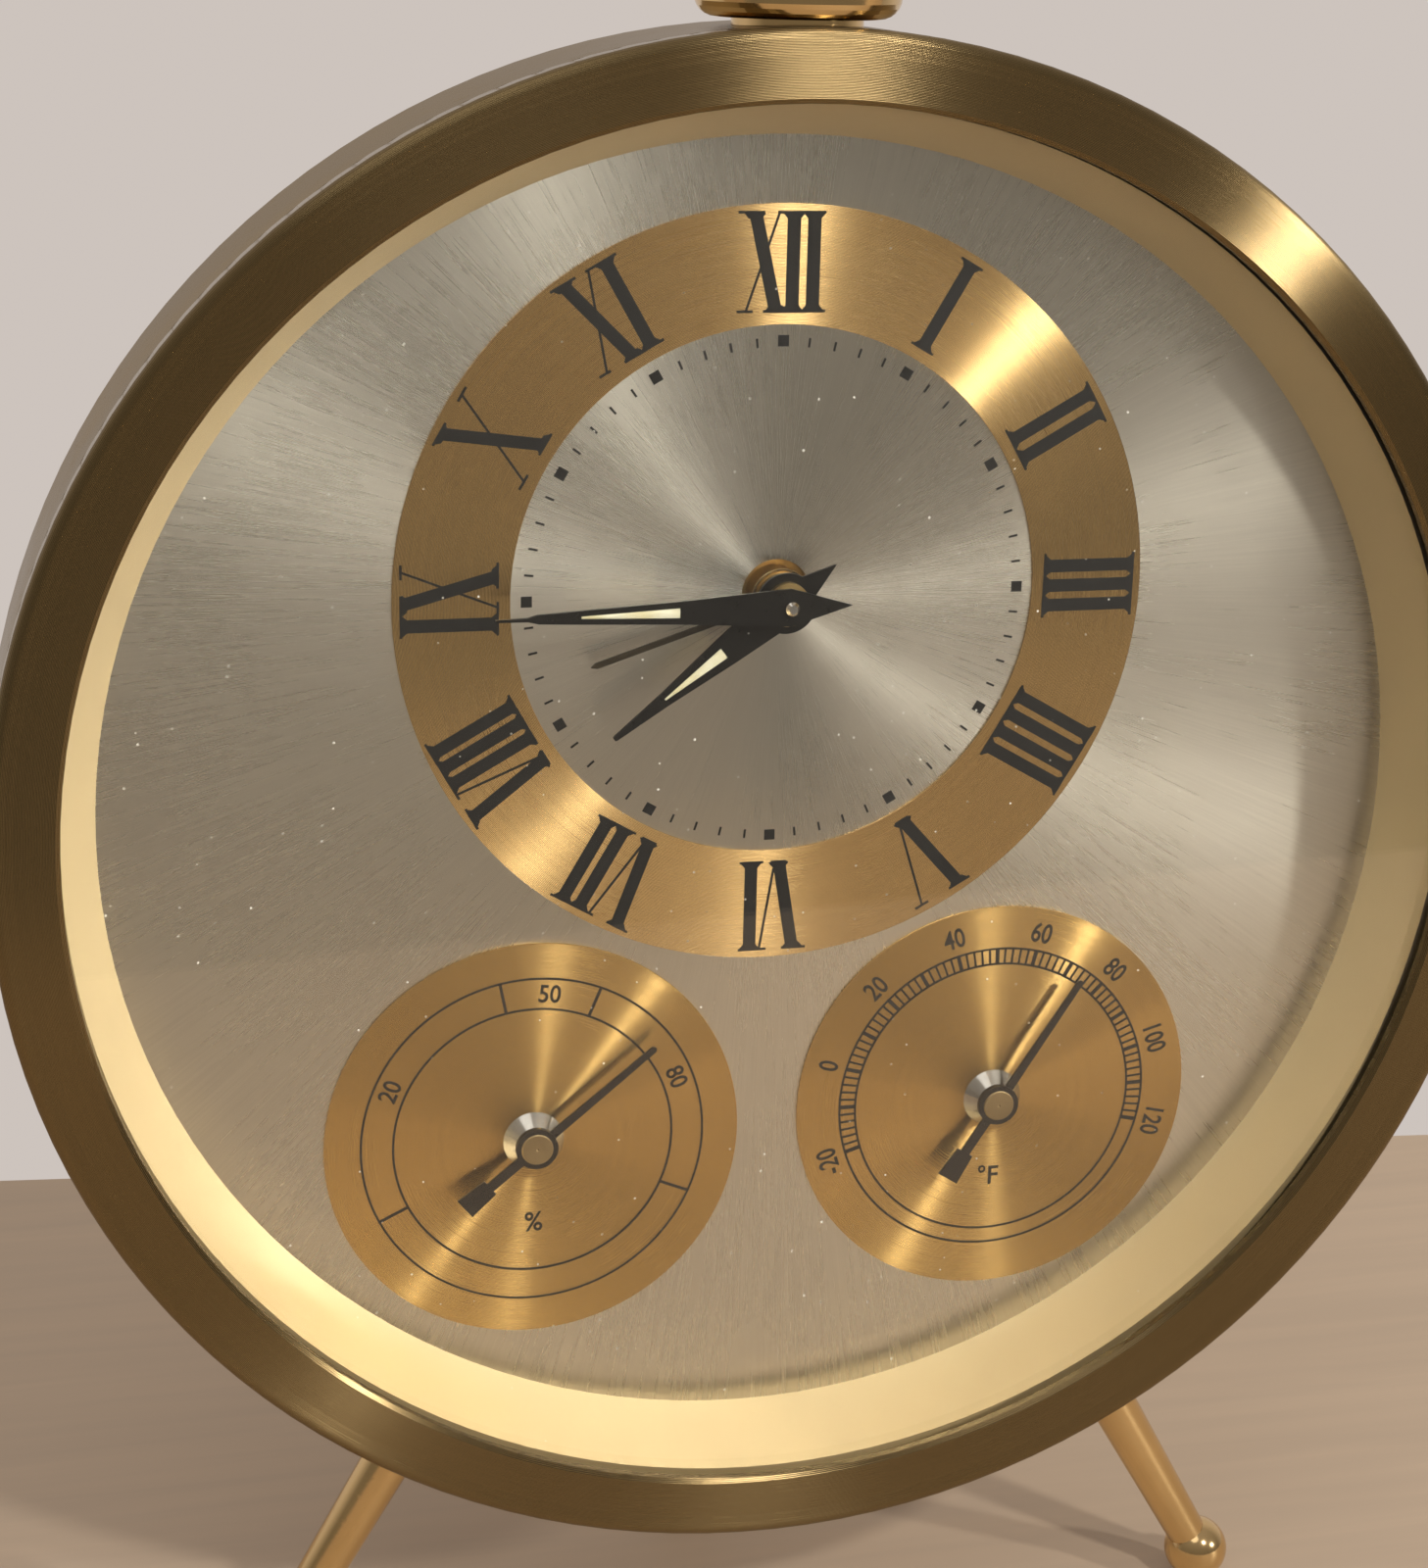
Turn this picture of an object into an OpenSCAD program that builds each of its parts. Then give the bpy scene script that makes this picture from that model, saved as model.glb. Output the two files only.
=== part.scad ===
// Table clock with a weather dial: a round brass case on three ball-foot legs, with a
// wind-up alarm movement behind the upper dial, a hygrometer at the lower left and a
// thermometer at the lower right.
//
// Frame: the front looks along -Y, +Z is up, the ball feet stand on z = 0 and the origin
// is under the middle of the whole clock. The sub-parts are drawn on the axis of the case,
// with y = 0 at the front of the bezel and y growing towards the back, and are then moved
// into the frame by the module placed().
//
// Angles named ..._clock_angle run clockwise from 12 o'clock, as seen from the front.

/* [Case] */
// Outer radius of the case
case_r = 63.5; // [50:0.5:80]
// Depth of the bezel ring in front of the drum
bezel_depth = 2.5; // [2.2:0.1:4]
// Width of the bezel, from its opening to its rim
bezel_w = 5.56; // [4:0.02:7]
// Radius of the rounded shoulder of the bezel
bezel_shoulder_r = 0.9; // [0.5:0.1:1.1]
// Depth of the case, from the front of the bezel to the rear rim of the drum
drum_rear_y = 15; // [14:0.5:20]
// Thickness of the sheet of the drum
drum_wall = 1; // [0.6:0.1:1.5]
// Width of the rear flange of the drum, from its opening to its rim
drum_flange_w = 13.5; // [10:0.5:14]
// Thickness of the glass
crystal_thick = 1.6; // [1.2:0.1:1.8]
// Depth of the seat of the glass behind the front of the bezel
crystal_seat_y = 1; // [0.6:0.1:1.2]

/* [Dial] */
// Depth of the dial face behind the front of the bezel
dial_y = 9.46; // [9:0.02:12]
// Thickness of the dial plate
dial_thick = 0.8; // [0.5:0.1:1]
// How far the inner ring narrows from the glass to the dial
ring_taper = 2.84; // [1:0.02:5]
// Height of the clock centre above the axis of the case
clock_z = 18.34; // [17:0.02:20]
// Outer radius of the gold chapter ring
chapter_outer_r = 31.48; // [28:0.1:34]
// Inner radius of the gold chapter ring
chapter_inner_r = 21.99; // [18:0.1:24]
// Radius of the two weather discs
weather_disc_r = 17.75; // [15:0.05:20]
// Centre of the hygrometer, across
hygro_x = -19.93; // [-22:0.01:-18]
// Centre of the hygrometer, up
hygro_z = -28.5; // [-31:0.01:-26]
// Centre of the thermometer, across
thermo_x = 20.87; // [18:0.01:23]
// Centre of the thermometer, up
thermo_z = -27.65; // [-31:0.01:-26]
// Thickness of the gold discs and of the chapter ring
disc_thick = 0.2; // [0.15:0.05:0.3]

/* [Hands] */
// Length of the minute hand
minute_hand_len = 23.9; // [20:0.1:27]
// Width of the minute hand at its hub
minute_hand_w = 3.1; // [2.4:0.1:4]
// Length of the hour hand
hour_hand_len = 17.7; // [14:0.1:20]
// Width of the hour hand at its hub
hour_hand_w = 3.5; // [2.6:0.1:4.4]
// Length of the alarm hand
alarm_hand_len = 16.5; // [12:0.1:19]
// Tail of the minute and hour hands
hand_tail_len = 5.1; // [4:0.1:6]
// Minute that the minute hand points at
rest_minutes = 44.87; // [0:0.01:59.99]
// Hour that the hour hand has passed
rest_hour = 7; // [0:1:11]
// Where the alarm hand points
alarm_clock_angle = 251.5; // [0:0.5:360]

/* [Weather pointers] */
// Length of the weather pointers from hub to tip
pointer_len = 13.2; // [10:0.05:15]
// Length of the tails of the weather pointers
pointer_tail_len = 7.95; // [6:0.1:9]
// Where the hygrometer pointer points
hygro_clock_angle = 50.4; // [-116:0.2:113]
// Where the thermometer pointer points
thermo_clock_angle = 32.6; // [-107.4:0.2:102.6]

/* [Legs] */
// Angle of the front legs from straight down
leg_spread = 30; // [20:1:40]
// Depth of the front legs behind the front of the bezel
leg_y = 7.5; // [7.2:0.1:7.6]
// Length of a leg from its seat to the middle of the ball
leg_len = 22.7; // [18:0.1:26]
// Radius of a leg at the top
leg_top_r = 2.15; // [1.7:0.05:2.6]
// Radius of a leg at the ball
leg_ball_end_r = 1.75; // [1.2:0.05:2.1]
// Radius of the ball foot
ball_r = 2.9; // [2.4:0.1:4]

/* [Alarm button] */
// Radius of the mushroom cap
button_cap_r = 8; // [7:0.1:9]
// Height of the top of the cap above the drum, with the button down
button_top = 7; // [6:0.1:9]
// Radius of the neck under the cap
button_neck_r = 5.1; // [4.5:0.1:6]
// Travel of the button, upwards
button_travel = 1.4; // [1:0.1:1.6]

/* [Rear cover] */
// Step from the rim of the drum in to the rear cover
cover_step = 11.5; // [9:0.5:12]
// Depth of the rear face of the cover behind the front of the bezel
cover_rear_y = 37; // [36.6:0.2:42]
// Thickness of the sheet of the cover
cover_wall = 0.8; // [0.6:0.1:1.2]

/* [Hidden] */
$fn = 96;

// Small distance by which a cutter runs past what it cuts.
past = 0.5;
// Radial clearance of a shaft that turns in its hole.
running_gap = 0.05;
// Clearance between neighbours that move past each other.
free_gap = 0.3;
// End play of an arbor between the plates.
end_shake = 0.1;
// Length by which one part of a piece reaches into the next.
join = 0.1;
// Length of a stud or tube in front of what it carries.
stud_proud = 0.2;
// Radius of the bore of a wheel that its arbor fills.
filled_bore_r = 0.1;
// Width by which a pinion stands past its wheel on each side.
pinion_side = 0.3;

// Bezel.
bezel_opening_r = case_r - bezel_w;
bezel_edge_chamfer = 0.35;
bezel_skirt_gap = 0.1;
bezel_skirt_r = case_r - drum_wall - bezel_skirt_gap;
bezel_skirt_wall = 0.7;
bezel_skirt_depth = 1.5;
crystal_lap = 1.56;
crystal_r = bezel_opening_r + crystal_lap;
crystal_rear_y = crystal_seat_y + crystal_thick;
crystal_edge_gap = 0.2;
bezel_rebate_r = crystal_r + crystal_edge_gap;

// Inner ring, a cream cone between the glass and the dial.
ring_wall = 0.5;
ring_edge_gap = 0.4;
ring_flange_r = bezel_skirt_r - bezel_skirt_wall - ring_edge_gap;
ring_set_back = 0.04;
ring_front_r = bezel_opening_r - ring_set_back;
ring_foot_r = bezel_opening_r - ring_taper;

// Drum.
drum_inner_r = case_r - drum_wall;
drum_opening_r = case_r - drum_flange_w;
drum_edge_r = 0.6;
drum_rear_flange = 0.8;
dial_margin = 4.5;
dial_r = drum_inner_r - dial_margin;
dial_rear_y = dial_y + dial_thick;
ledge_w = 1.5;
ledge_inner_r = dial_r - ledge_w;
ledge_thick = 0.8;

// Rear cover.
cover_r = case_r - cover_step;
cover_margin = 5;
cover_flange_r = case_r - cover_margin;
cover_flange_thick = 0.8;
cover_edge_r = 2;
cover_screw_inset = 3;
cover_screw_circle_r = cover_flange_r - cover_screw_inset;
cover_screw_count = 4;
cover_screw_first_angle = 45;
cover_screw_head_r = 1.7;
cover_screw_head_h = 1;
cover_screw_shank_r = 0.9;
cover_screw_shank_len = 3;
cover_screw_slot_w = 0.45;
cover_screw_slot_depth = 0.5;
vent_r = 1;
vent_circle_r = 7;
vent_count = 8;

// Legs.
axis_height = (case_r + leg_len) * cos(leg_spread) + ball_r;
leg_collar_r = 3.1;
leg_collar_h = 1.2;
leg_collar_round = 0.4;
leg_stud_r = 1.25;
leg_nut_r = 2.6;
leg_nut_h = 2.4;
rear_leg_seat_h = 1.5;
rear_leg_seat_extra = 0.5;
rear_leg_root_r = cover_r + rear_leg_seat_h;
rear_leg_lean = acos((axis_height - rear_leg_root_r - ball_r) / leg_len);
rear_leg_root_y = 26.5;
leg_nut_seat_r = sqrt(pow(drum_inner_r, 2) - pow(leg_nut_r, 2));
rear_nut_drop = (cover_wall + rear_leg_seat_h) / cos(rear_leg_lean) + leg_nut_r * tan(rear_leg_lean);

// Alarm button, from the inside out along the radius of the case.
button_y = leg_y;
button_shank_r = 1.5;
button_tube_r = 2.6;
button_foot_drop = 3.6;
button_foot_r = drum_inner_r - button_foot_drop;
button_foot_thick = 0.8;
button_foot_half_w = 2.2;
button_foot_rear_y = 13.2;
button_neck_top = 2.3;
button_cap_bottom = 0.4;
button_cap_gap = 0.4;
button_cap_hollow_r = button_neck_r + button_cap_gap;
button_cap_ceiling = 3.9;
button_cap_round = 1.6;
button_cap_dome_share = 0.62;
button_spring_r = 3;
button_spring_wire_r = 0.3;
button_spring_turns = 4;
button_well_r = 3.7;
button_well_floor = 0.7;
notch_gap = 0.6;
notch_half_w = button_foot_half_w + notch_gap;

// Layers of the hands and of the wheels behind the dial.
minute_hand_y = 4.5;
hour_hand_y = 5.95;
alarm_hand_y = 7.75;
hand_thick = 0.3;
thin_hand_thick = 0.25;
pin_front_y = 3.8;
crown_h = 0.25;
hour_tube_proud = 0.5;
alarm_tube_proud = 0.3;
alarm_wheel_y = 10.8;
alarm_wheel_thick = 0.7;
hour_wheel_y = 12;
hour_wheel_thick = 0.7;
minute_wheel_y = 13.4;
minute_wheel_thick = 0.8;
front_plate_y = 15;
plate_thick = 1;
back_plate_y = 30;
knob_gap = 1.2;
knob_y = cover_rear_y + knob_gap;
plate_gap = back_plate_y - front_plate_y - plate_thick;
plate_inside_y = front_plate_y + plate_thick;
back_plate_rear_y = back_plate_y + plate_thick;

// Tubes at the clock centre.
arbor_r = 1;
sleeve_r = 1.25;
hour_tube_r = 1.8;
alarm_tube_r = 2.2;
dial_hole_r = 2.9;

// Plates of the movement, measured from the clock centre.
pillar_half_x = 22.8;
pillar_top_z = 21.8;
pillar_bottom_z = -26.3;
plate_edge = 2.2;
plate_half_w = pillar_half_x + plate_edge;
plate_top = pillar_top_z + plate_edge;
plate_bottom = pillar_bottom_z - plate_edge;
plate_corner = 2;
pillar_r = 1.5;
pillar_stud_r = 0.9;
pillar_stud_len = 3.2;
plate_nut_r = 2;
plate_nut_h = 1.4;
dial_post_r = 1.5;
dial_post_inset = 3.4;
pivot_r = 0.4;
arbor_thin_r = 0.7;

// Teeth. Each share is a part of the pitch between two teeth.
tooth_height_share = 0.75;
tooth_depth_share = 1.1;
tooth_tip_share = 0.22;
tooth_root_share = 0.52;
leaf_height_share = 0.7;
leaf_tip_share = 0.2;
leaf_root_share = 0.44;

// Tooth counts and sizes of the gears.
motion_module = 0.3125;
fine_module = 0.3;
train_module = 0.27;
great_module = 0.4;
cannon_teeth = 12;
minute_teeth = 36;
minute_pinion_teeth = 10;
hour_teeth = 40;
alarm_teeth = 57;
alarm_pinion_teeth = 19;
great_teeth = 60;
centre_pinion_teeth = 10;
centre_teeth = 64;
third_pinion_teeth = 8;
third_teeth = 60;
fourth_pinion_teeth = 8;
fourth_teeth = 60;
escape_pinion_teeth = 6;
escape_teeth = 12;
verge_teeth = 12;

// Where the arbors stand, measured from the clock centre. Directions run anticlockwise
// from the right, as seen from the front.
function polar(dist, angle) = [dist * cos(angle), dist * sin(angle)];
function mesh_dist(size, teeth_a, teeth_b) = size * (teeth_a + teeth_b) / 2;
minute_wheel_dir = 180;
alarm_set_dir = 130;
time_barrel_dir = 210;
third_dir = -50;
fourth_dir = 219.5;
escape_dir = -48;
balance_dir = 10;
verge_dir = 167;
minute_wheel_pos = polar(mesh_dist(motion_module, cannon_teeth, minute_teeth), minute_wheel_dir);
alarm_set_pos = polar(mesh_dist(fine_module, alarm_teeth, alarm_pinion_teeth), alarm_set_dir);
time_barrel_pos = polar(mesh_dist(great_module, great_teeth, centre_pinion_teeth), time_barrel_dir);
alarm_barrel_pos = [11.5, 11.5];
third_pos = polar(mesh_dist(fine_module, centre_teeth, third_pinion_teeth), third_dir);
fourth_pos = third_pos + polar(mesh_dist(fine_module, third_teeth, fourth_pinion_teeth), fourth_dir);
escape_pos = fourth_pos + polar(mesh_dist(train_module, fourth_teeth, escape_pinion_teeth), escape_dir);
balance_dist = 12;
balance_pos = escape_pos + polar(balance_dist, balance_dir);
verge_pos = alarm_barrel_pos + polar(mesh_dist(great_module, great_teeth, centre_pinion_teeth), verge_dir);
hammer_dist = 6.5;
hammer_dir = 97;
hammer_pos = verge_pos + polar(hammer_dist, hammer_dir);

// Turn of a driven gear that brings it into mesh with its driver.
function mesh_turn(direction, driver_turn, driver_teeth, driven_teeth) =
  direction + 180 + 180 / driven_teeth - (driver_turn - direction) * driver_teeth / driven_teeth;
minute_turn = mesh_turn(minute_wheel_dir, 0, cannon_teeth, minute_teeth);
hour_turn = mesh_turn(minute_wheel_dir + 180, minute_turn, minute_pinion_teeth, hour_teeth);
alarm_pinion_turn = mesh_turn(alarm_set_dir, 0, alarm_teeth, alarm_pinion_teeth);
time_great_turn = mesh_turn(time_barrel_dir, 0, centre_pinion_teeth, great_teeth);
third_turn = mesh_turn(third_dir, 0, centre_teeth, third_pinion_teeth);
fourth_turn = mesh_turn(fourth_dir, third_turn, third_teeth, fourth_pinion_teeth);
escape_pinion_turn = mesh_turn(escape_dir, fourth_turn, fourth_teeth, escape_pinion_teeth);
verge_pinion_turn = mesh_turn(verge_dir, 0, great_teeth, centre_pinion_teeth);

// Layers of the train between the plates.
centre_wheel_y = 16.6;
centre_wheel_thick = 0.5;
centre_pinion_y = 26.9;
centre_pinion_len = 2;
fourth_wheel_y = 17.5;
wheel_thick = 0.4;
third_wheel_y = 19.4;
escape_wheel_y = 21;
escape_wheel_thick = 0.6;
pallet_y = 21.9;
pallet_thick = 0.5;
roller_y = 22.6;
roller_thick = 0.3;
balance_y = 23.1;
balance_thick = 1.1;
hairspring_y = 28.2;
hairspring_h = 0.5;
barrel_front_y = 20.4;
time_great_y = 27.4;
alarm_great_y = 25.7;
great_thick = 0.9;
barrel_r = 10.6;
barrel_wall = 0.6;
barrel_arbor_r = 2;
verge_wheel_y = 17;
verge_wheel_thick = 0.8;
ratchet_y = 31.4;
ratchet_thick = 1;
ratchet_r = 5.4;
ratchet_teeth = 24;
ratchet_depth = 0.7;

// Escapement.
escape_r = 5.2;
escape_root_r = 3.9;
pallet_pin_r = 0.25;
pallet_pin_gap = 0.12;
pallet_half_span = 37.5;
pallet_hub_r = 1;
pallet_pin_dist = escape_r + pallet_pin_r + pallet_pin_gap;
pallet_dist = pallet_pin_dist / cos(pallet_half_span);
pallet_arm = pallet_dist * sin(pallet_half_span);
pallet_pos = escape_pos + polar(pallet_dist, balance_dir);
impulse_pin_dist = 1.6;
impulse_pin_r = 0.3;
fork_gap = 0.12;
fork_len = balance_dist - pallet_dist - impulse_pin_dist - impulse_pin_r - fork_gap;
balance_r = 7;
balance_rim = 1;

// Weather instruments.
boss_r = 2.6;
boss_top_r = 1.4;
boss_h = 1.1;
pointer_y = 7.55;
pointer_thick = 0.25;
pointer_hub_r = 1.8;
pointer_hub_y = 7.4;
pointer_hub_thick = 0.5;
pointer_cap_r = 1.36;
pointer_cap_y = 7.25;
pointer_cap_edge = 0.08;
pointer_dimple = 0.14;
pointer_arbor_r = 0.5;
pointer_w = 0.76;
pointer_tip_w = 0.54;
pointer_point = 0.2;
pointer_tail_w = 0.84;
pointer_paddle_w = 1.96;
pointer_paddle_root_w = 1.56;
pointer_paddle_start = 5.15;
cup_r = 13;
cup_wall = 0.5;
cup_depth = 8.2;
cup_rear_y = dial_rear_y + cup_depth;
cup_bridge_w = 5;
coil_y = 12.6;
coil_h = 3.6;
coil_inner_r = 1.2;
coil_outer_r = 9.5;
coil_strip = 0.35;
coil_turns = 6;

wheel_rim = 0.9;
spoke_w = 1.1;
saw_tip_share = 0.08;
saw_foot_share = 0.8;
regulator_len = 9;
regulator_slot_angle = 26;
regulator_slot_half_w = 1.2;
regulator_pin_r = 0.7;
regulator_gap = 0.2;
regulator_thick = 0.6;
regulator_arm_w = 1.6;
regulator_pin_sink = 0.5;
regulator_pin_proud = 0.6;
sounding_post_pos = [-18.4, 19.6];
sounding_post_r = 1.2;
sounding_post_y = 32;
knob_hole_r = 1.7;
key_hole_r = 2.6;
front_stud_len = case_r - leg_nut_seat_r + leg_nut_h;
rear_stud_len = rear_nut_drop + leg_nut_h;
cap_dome_h = button_top - button_cap_bottom - button_cap_round;
button_tube_len = drum_wall + 0.6;
stop_lever_pos = [-14, 17.5];
stop_lever_y = 12.3;
stop_lever_thick = 0.7;
stop_hub_r = 2;
stop_stud_r = 0.8;
stop_arm_w = 2;
stop_pad_half_w = 1.5;
stop_pad_h = 2;
stop_pad = [-stop_lever_pos[0], button_foot_r - clock_z - stop_lever_pos[1] - stop_arm_w / 2 - free_gap];
stop_pin = [6, 4.2];
stop_pin_r = 0.5;
stop_pin_len = 6.9;
stop_tail = polar(14, 234.3);
stop_weight_r = 2.4;
stop_weight_len = 2;
minute_clock_angle = rest_minutes * 6;
hour_clock_angle = (rest_hour + rest_minutes / 60) * 30;
// Hand outlines: share of the length, share of the hub width.
minute_step_shares = [[0.381, 0.6], [0.715, 0.355], [0.858, 0.24], [0.893, 0.1], [1, 0.06]];
hour_step_shares = [[0.36, 0.7], [0.706, 0.33], [0.99, 0.12], [1, 0.08]];
minute_lume_shares = [[0.381, 0.27], [0.715, 0.077]];
hour_lume_shares = [[0.362, 0.286], [0.706, 0.057]];
hour_hub_r = 2.5;
alarm_hand_w = 0.48;
alarm_hub_r = 2.45;
hand_pin_r = 0.58;
knob_edge = 0.4;
knob_skin = 0.6;
set_knob_flutes = 24;
alarm_knob_flutes = 20;
flute_r = 0.45;
flute_out_share = 0.45;
set_knob_depth = 5;
set_knob_r = 4.6;
alarm_knob_depth = 4.4;
alarm_knob_r = 3.6;
pillar_places = [
  [-pillar_half_x, pillar_top_z], [pillar_half_x, pillar_top_z],
  [-pillar_half_x, pillar_bottom_z], [pillar_half_x, pillar_bottom_z]
];
pivot_places = [third_pos, fourth_pos, escape_pos, balance_pos, verge_pos, hammer_pos];
stop_pin_room = 1.2;
regulator_boss_r = 1.6;
regulator_boss_h = 1.1;
click_stud_r = 0.7;
click_hub_r = 1.5;
click_dir = 200;
click_dist = 8.4;
click_offset = polar(click_dist, click_dir);
centre_tube_r = 1.35;
centre_tube_play = 0.2;
cannon_proud = 0.2;
third_pinion_over = 0.5;
wheel_hub_r = 2;
wheel_spokes = 4;
pointer_arbor_proud = 0.8;
centre_hub_r = 2.4;
escape_turn = balance_dir + 180 / escape_teeth;
escape_arbor_r = 0.45;
escape_rim_w = 0.7;
escape_hub_r = 1.5;
escape_spoke_w = 0.8;
fork_slot_len = 0.9;
fork_slot_w = 0.7;
fork_half_w = 0.75;
fork_stem_w = 0.7;
fork_lap = 0.3;
pallet_arm_w = 0.8;
balance_arm_w = 1.2;
balance_hub_r = 1.3;
roller_edge = 0.5;
hairspring_inner_r = 0.8;
hairspring_outer_r = 4;
hairspring_turns = 6;
hairspring_strip = 0.12;
mainspring_inner_r = 2.6;
mainspring_turns = 7;
mainspring_strip = 0.5;
key_arbor_r = 1.6;
key_hub_depth = 4.2;
key_hub_r = 2.6;
key_wing_out = 8.2;
key_wing_in_share = 0.5;
key_wing_r = 3.2;
key_wing_hole_r = 1.4;
key_wing_thick = 1;
key_wing_seat = 1.2;
key_wing_mid = key_wing_out - key_wing_r;
verge_r = 4.5;
verge_root_r = 3.4;
hammer_arm_y = 33;
hammer_arm_w = 1;
hammer_hub_r = 1.4;
hammer_tail_thick = 0.6;
hammer_head_r = 1.5;
hammer_head_sink = 0.8;
hammer_head_h = 2.2;
verge_nib_w = 0.7;
hammer_arm_thick = 0.6;
hammer_head = [-12, -2.4];
hammer_tail_y = 18.4;
hammer_tail = [-4.9, -1.5];
verge_nib_left = [-2.35, -2.15];
verge_nib_right = [3.4, -1.6];
ratchet_pitch = 360 / ratchet_teeth;
click_nose_dir = click_dir - 3 * ratchet_pitch;
click_nose_lift = 0.12;
click_nose_h = 0.9;
click_waist = 1.2;
click_nose_foot = polar(ratchet_r - ratchet_depth + click_nose_lift, click_nose_dir + ratchet_pitch * 0.1);
click_nose_back = polar(ratchet_r + click_nose_h, click_nose_dir + ratchet_pitch * 0.1);
click_nose_front = polar(ratchet_r + click_nose_h, click_nose_dir + ratchet_pitch * 1.27);

front_extent_y = min(0, button_y - button_cap_r);
rear_extent_y = knob_y + key_wing_seat + key_wing_r * 2;

// Moves a sub-part from the axis of the case into the frame.
module placed() {
  translate([0, -(front_extent_y + rear_extent_y) / 2, axis_height]) children();
}

module at_clock(pos) {
  translate([pos[0], 0, clock_z + pos[1]]) children();
}

module at_xz(x, z) {
  translate([x, 0, z]) children();
}

// Extrudes an outline drawn as seen from the front, from y_front towards the back.
module slab(y_front, thick) {
  translate([0, y_front + thick, 0]) rotate([90, 0, 0]) linear_extrude(thick) children();
}

// A rod or disc along the depth.
module rod(r, y_front, len) {
  translate([0, y_front, 0]) rotate([-90, 0, 0]) cylinder(r = r, h = len);
}

// A cone along the depth.
module taper(front_r, rear_r, y_front, len) {
  translate([0, y_front, 0]) rotate([-90, 0, 0]) cylinder(r1 = front_r, r2 = rear_r, h = len);
}

// Spins an outline of [radius, depth] points about the depth axis.
module spun(points) {
  rotate([-90, 0, 0]) rotate_extrude() polygon(points);
}

function arc(centre, r, from, to, steps) = [
  for (i = [0 : steps]) centre + polar(r, from + (to - from) * i / steps)
];

module ring(outer_r, inner_r) {
  difference() {
    circle(outer_r);
    circle(inner_r);
  }
}

// Outline of a toothed wheel with a tooth along the direction named turn.
module toothed(size, teeth, turn, height, tip, root) {
  pitch_r = size * teeth / 2;
  pitch = 360 / teeth;
  polygon([
    for (i = [0 : teeth - 1])
      for (corner = [
        [pitch_r - size * tooth_depth_share, -root / 2],
        [pitch_r + size * height, -tip / 2],
        [pitch_r + size * height, tip / 2],
        [pitch_r - size * tooth_depth_share, root / 2]
      ]) polar(corner[0], turn + (i + corner[1]) * pitch)
  ]);
}

module wheel_outline(size, teeth, turn) {
  toothed(size, teeth, turn, tooth_height_share, tooth_tip_share, tooth_root_share);
}

module pinion_outline(size, teeth, turn) {
  toothed(size, teeth, turn, leaf_height_share, leaf_tip_share, leaf_root_share);
}

// Outline of a spoked wheel body: rim, spokes and hub.
module spoked(size, teeth, turn, hub_r, spokes, bore_r) {
  rim_r = size * teeth / 2 - size * tooth_depth_share - wheel_rim;
  difference() {
    wheel_outline(size, teeth, turn);
    difference() {
      circle(rim_r);
      circle(hub_r);
      for (i = [0 : spokes - 1]) {
        rotate(i * 360 / spokes) translate([0, -spoke_w / 2]) square([rim_r + past, spoke_w]);
      }
    }
    circle(bore_r);
  }
}

// Saw teeth, for the ratchets and the escape wheel.
module saw_outline(outer_r, root_r, teeth, turn, lead_share) {
  pitch = 360 / teeth;
  polygon([
    for (i = [0 : teeth - 1])
      for (corner = [[root_r, 0], [outer_r, lead_share], [outer_r, lead_share + saw_tip_share],
        [root_r, saw_foot_share]])
        polar(corner[0], turn + (i + corner[1] - lead_share - saw_tip_share / 2) * pitch)
  ]);
}

// Flat strip wound into a spiral.
module spiral_outline(inner_r, outer_r, turns, strip, steps) {
  count = turns * steps;
  polygon(concat(
    [for (i = [0 : count]) polar(inner_r + (outer_r - inner_r) * i / count, i * 360 / steps)],
    [for (i = [count : -1 : 0]) polar(inner_r + strip + (outer_r - inner_r) * i / count, i * 360 / steps)]
  ));
}

module rear_leg_frame() {
  translate([0, rear_leg_root_y, -rear_leg_root_r]) rotate([180 + rear_leg_lean, 0, 0]) children();
}

module front_leg_frame(side) {
  translate([0, leg_y, 0]) rotate([0, 180 - side * leg_spread, 0]) translate([0, 0, case_r]) children();
}

module button_frame() {
  translate([0, button_y, case_r]) children();
}

module case_drum() {
  color("#b49a5e") difference() {
    union() {
      spun(concat(
        [[drum_inner_r, bezel_depth], [case_r, bezel_depth]],
        arc([case_r - drum_edge_r, drum_rear_y - drum_edge_r], drum_edge_r, 0, 90, 6),
        [[drum_opening_r, drum_rear_y], [drum_opening_r, drum_rear_y - drum_rear_flange],
         [drum_inner_r, drum_rear_y - drum_rear_flange]]
      ));
      slab(dial_rear_y, ledge_thick) ring(drum_inner_r + drum_wall / 2, ledge_inner_r);
    }
    for (side = [-1, 1]) {
      front_leg_frame(side) translate([0, 0, -drum_wall * 2]) {
        cylinder(r = leg_stud_r + running_gap, h = drum_wall * 3);
      }
    }
    button_frame() translate([0, 0, -drum_wall * 2]) cylinder(r = button_tube_r, h = drum_wall * 3);
    translate([-notch_half_w, dial_rear_y - past, button_foot_r - free_gap]) {
      cube([notch_half_w * 2, ledge_thick + past * 2, button_foot_thick + button_travel + free_gap * 2]);
    }
    for (i = [0 : cover_screw_count - 1]) {
      rotate([0, cover_screw_first_angle + i * 360 / cover_screw_count, 0]) {
        translate([cover_screw_circle_r, 0, 0])
          rod(cover_screw_shank_r, drum_rear_y - drum_rear_flange - past, drum_rear_flange + past * 2);
      }
    }
  }
}

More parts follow.
